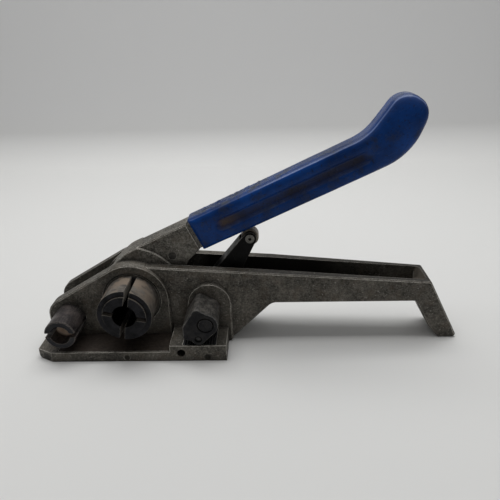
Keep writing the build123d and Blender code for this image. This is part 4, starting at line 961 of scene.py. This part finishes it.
# ---------------------------------------------------------------- studio
def paper_finish():
    """Matt paper: pale on the floor, and greyer up the wall as painted shade."""
    material, tree, shader = new_finish("studio_paper")
    height = object_place(tree)["Z"]
    # greyer with height up the wall: painted shade
    low, high = remap(tree, height, 0.0, 0.10), remap(tree, height, 0.04, 0.34)
    drift = use(tree, MOTTLE, Scale=1.5, Low=0.2, High=0.8)
    tone = layered(tree, blend_colour(tree, low, (0.69, 0.69, 0.677), (0.69, 0.69, 0.69)),
                   (high, (0.565, 0.565, 0.565)), (times(tree, drift, 0.03), (0.5, 0.5, 0.5)))
    wire(tree, tone, shader.inputs["Base Color"])
    shader.inputs["Roughness"].default_value = 0.9
    shader.inputs["Specular IOR Level"].default_value = 0.2
    return material


def paper_sweep():
    """Pale floor running up into a wall painted slightly greyer as shade."""
    wall_y, reach, curve, height = 0.57, 3.0, 0.06, 2.5
    bend_y = wall_y - curve
    rows = [(-reach, 0.0), (bend_y, 0.0)]
    rows += [(bend_y + curve * sin(radians(a)), curve - curve * cos(radians(a)))
             for a in range(6, 91, 6)]
    rows += [(wall_y, height)]
    shape = bmesh.new()
    previous = None
    for y, z in rows:
        pair = [shape.verts.new((x, y, z)) for x in (-reach, reach)]
        if previous:
            shape.faces.new((previous[0], previous[1], pair[1], pair[0])).smooth = True
        previous = pair
    mesh = bpy.data.meshes.new("studio_sweep")
    shape.to_mesh(mesh)
    shape.free()
    mesh.materials.append(paper_finish())
    sweep = place_mesh(mesh, "studio_sweep")


def soft_box():
    """One wide lamp overhead."""
    lamp = bpy.data.lights.new("overhead_soft_box", "AREA")
    lamp.shape = "RECTANGLE"
    lamp.size, lamp.size_y = 1.2, 0.7
    lamp.energy = 10.3
    holder = bpy.data.objects.new("overhead_soft_box", lamp)
    holder.location = (0.05, 0.20, 1.05)
    holder.rotation_euler = (radians(-9), 0, 0)
    bpy.context.scene.collection.objects.link(holder)


def studio_air():
    """Even light from all round, behind a plain grey."""
    world = bpy.data.worlds.new("studio_air")
    bpy.context.scene.world = world
    world.use_nodes = True
    tree = world.node_tree
    tree.nodes.clear()
    seen = put(tree, "ShaderNodeLightPath").outputs["Is Camera Ray"]
    light = put(tree, "ShaderNodeBackground", Color=(1, 1, 1, 1), Strength=0.26)
    backdrop = put(tree, "ShaderNodeBackground", Color=(0.52, 0.52, 0.52, 1), Strength=1.0)
    mix = put(tree, "ShaderNodeMixShader")
    wire(tree, seen, mix.inputs[0])
    wire(tree, light.outputs[0], mix.inputs[1])
    wire(tree, backdrop.outputs[0], mix.inputs[2])
    wire(tree, mix.outputs[0], put(tree, "ShaderNodeOutputWorld").inputs["Surface"])


def camera():
    """The view that the tool is shown from."""
    data = bpy.data.cameras.new("view")
    data.sensor_width = 36.0
    data.lens = 36.0
    data.clip_start = 0.01
    eye = bpy.data.objects.new("view", data)
    eye.location = (0.10642, -0.364, 0.23925)
    eye.rotation_euler = (radians(65.3305), radians(1.5081), radians(1.2495))
    bpy.context.scene.collection.objects.link(eye)
    bpy.context.scene.camera = eye


# ---------------------------------------------------------------- making
bpy.context.scene.view_settings.view_transform = "Standard"
camera()
paper_sweep()
soft_box()
studio_air()
dress_castings_and_steel()
casting_skin()
vinyl_sleeve()
springs()
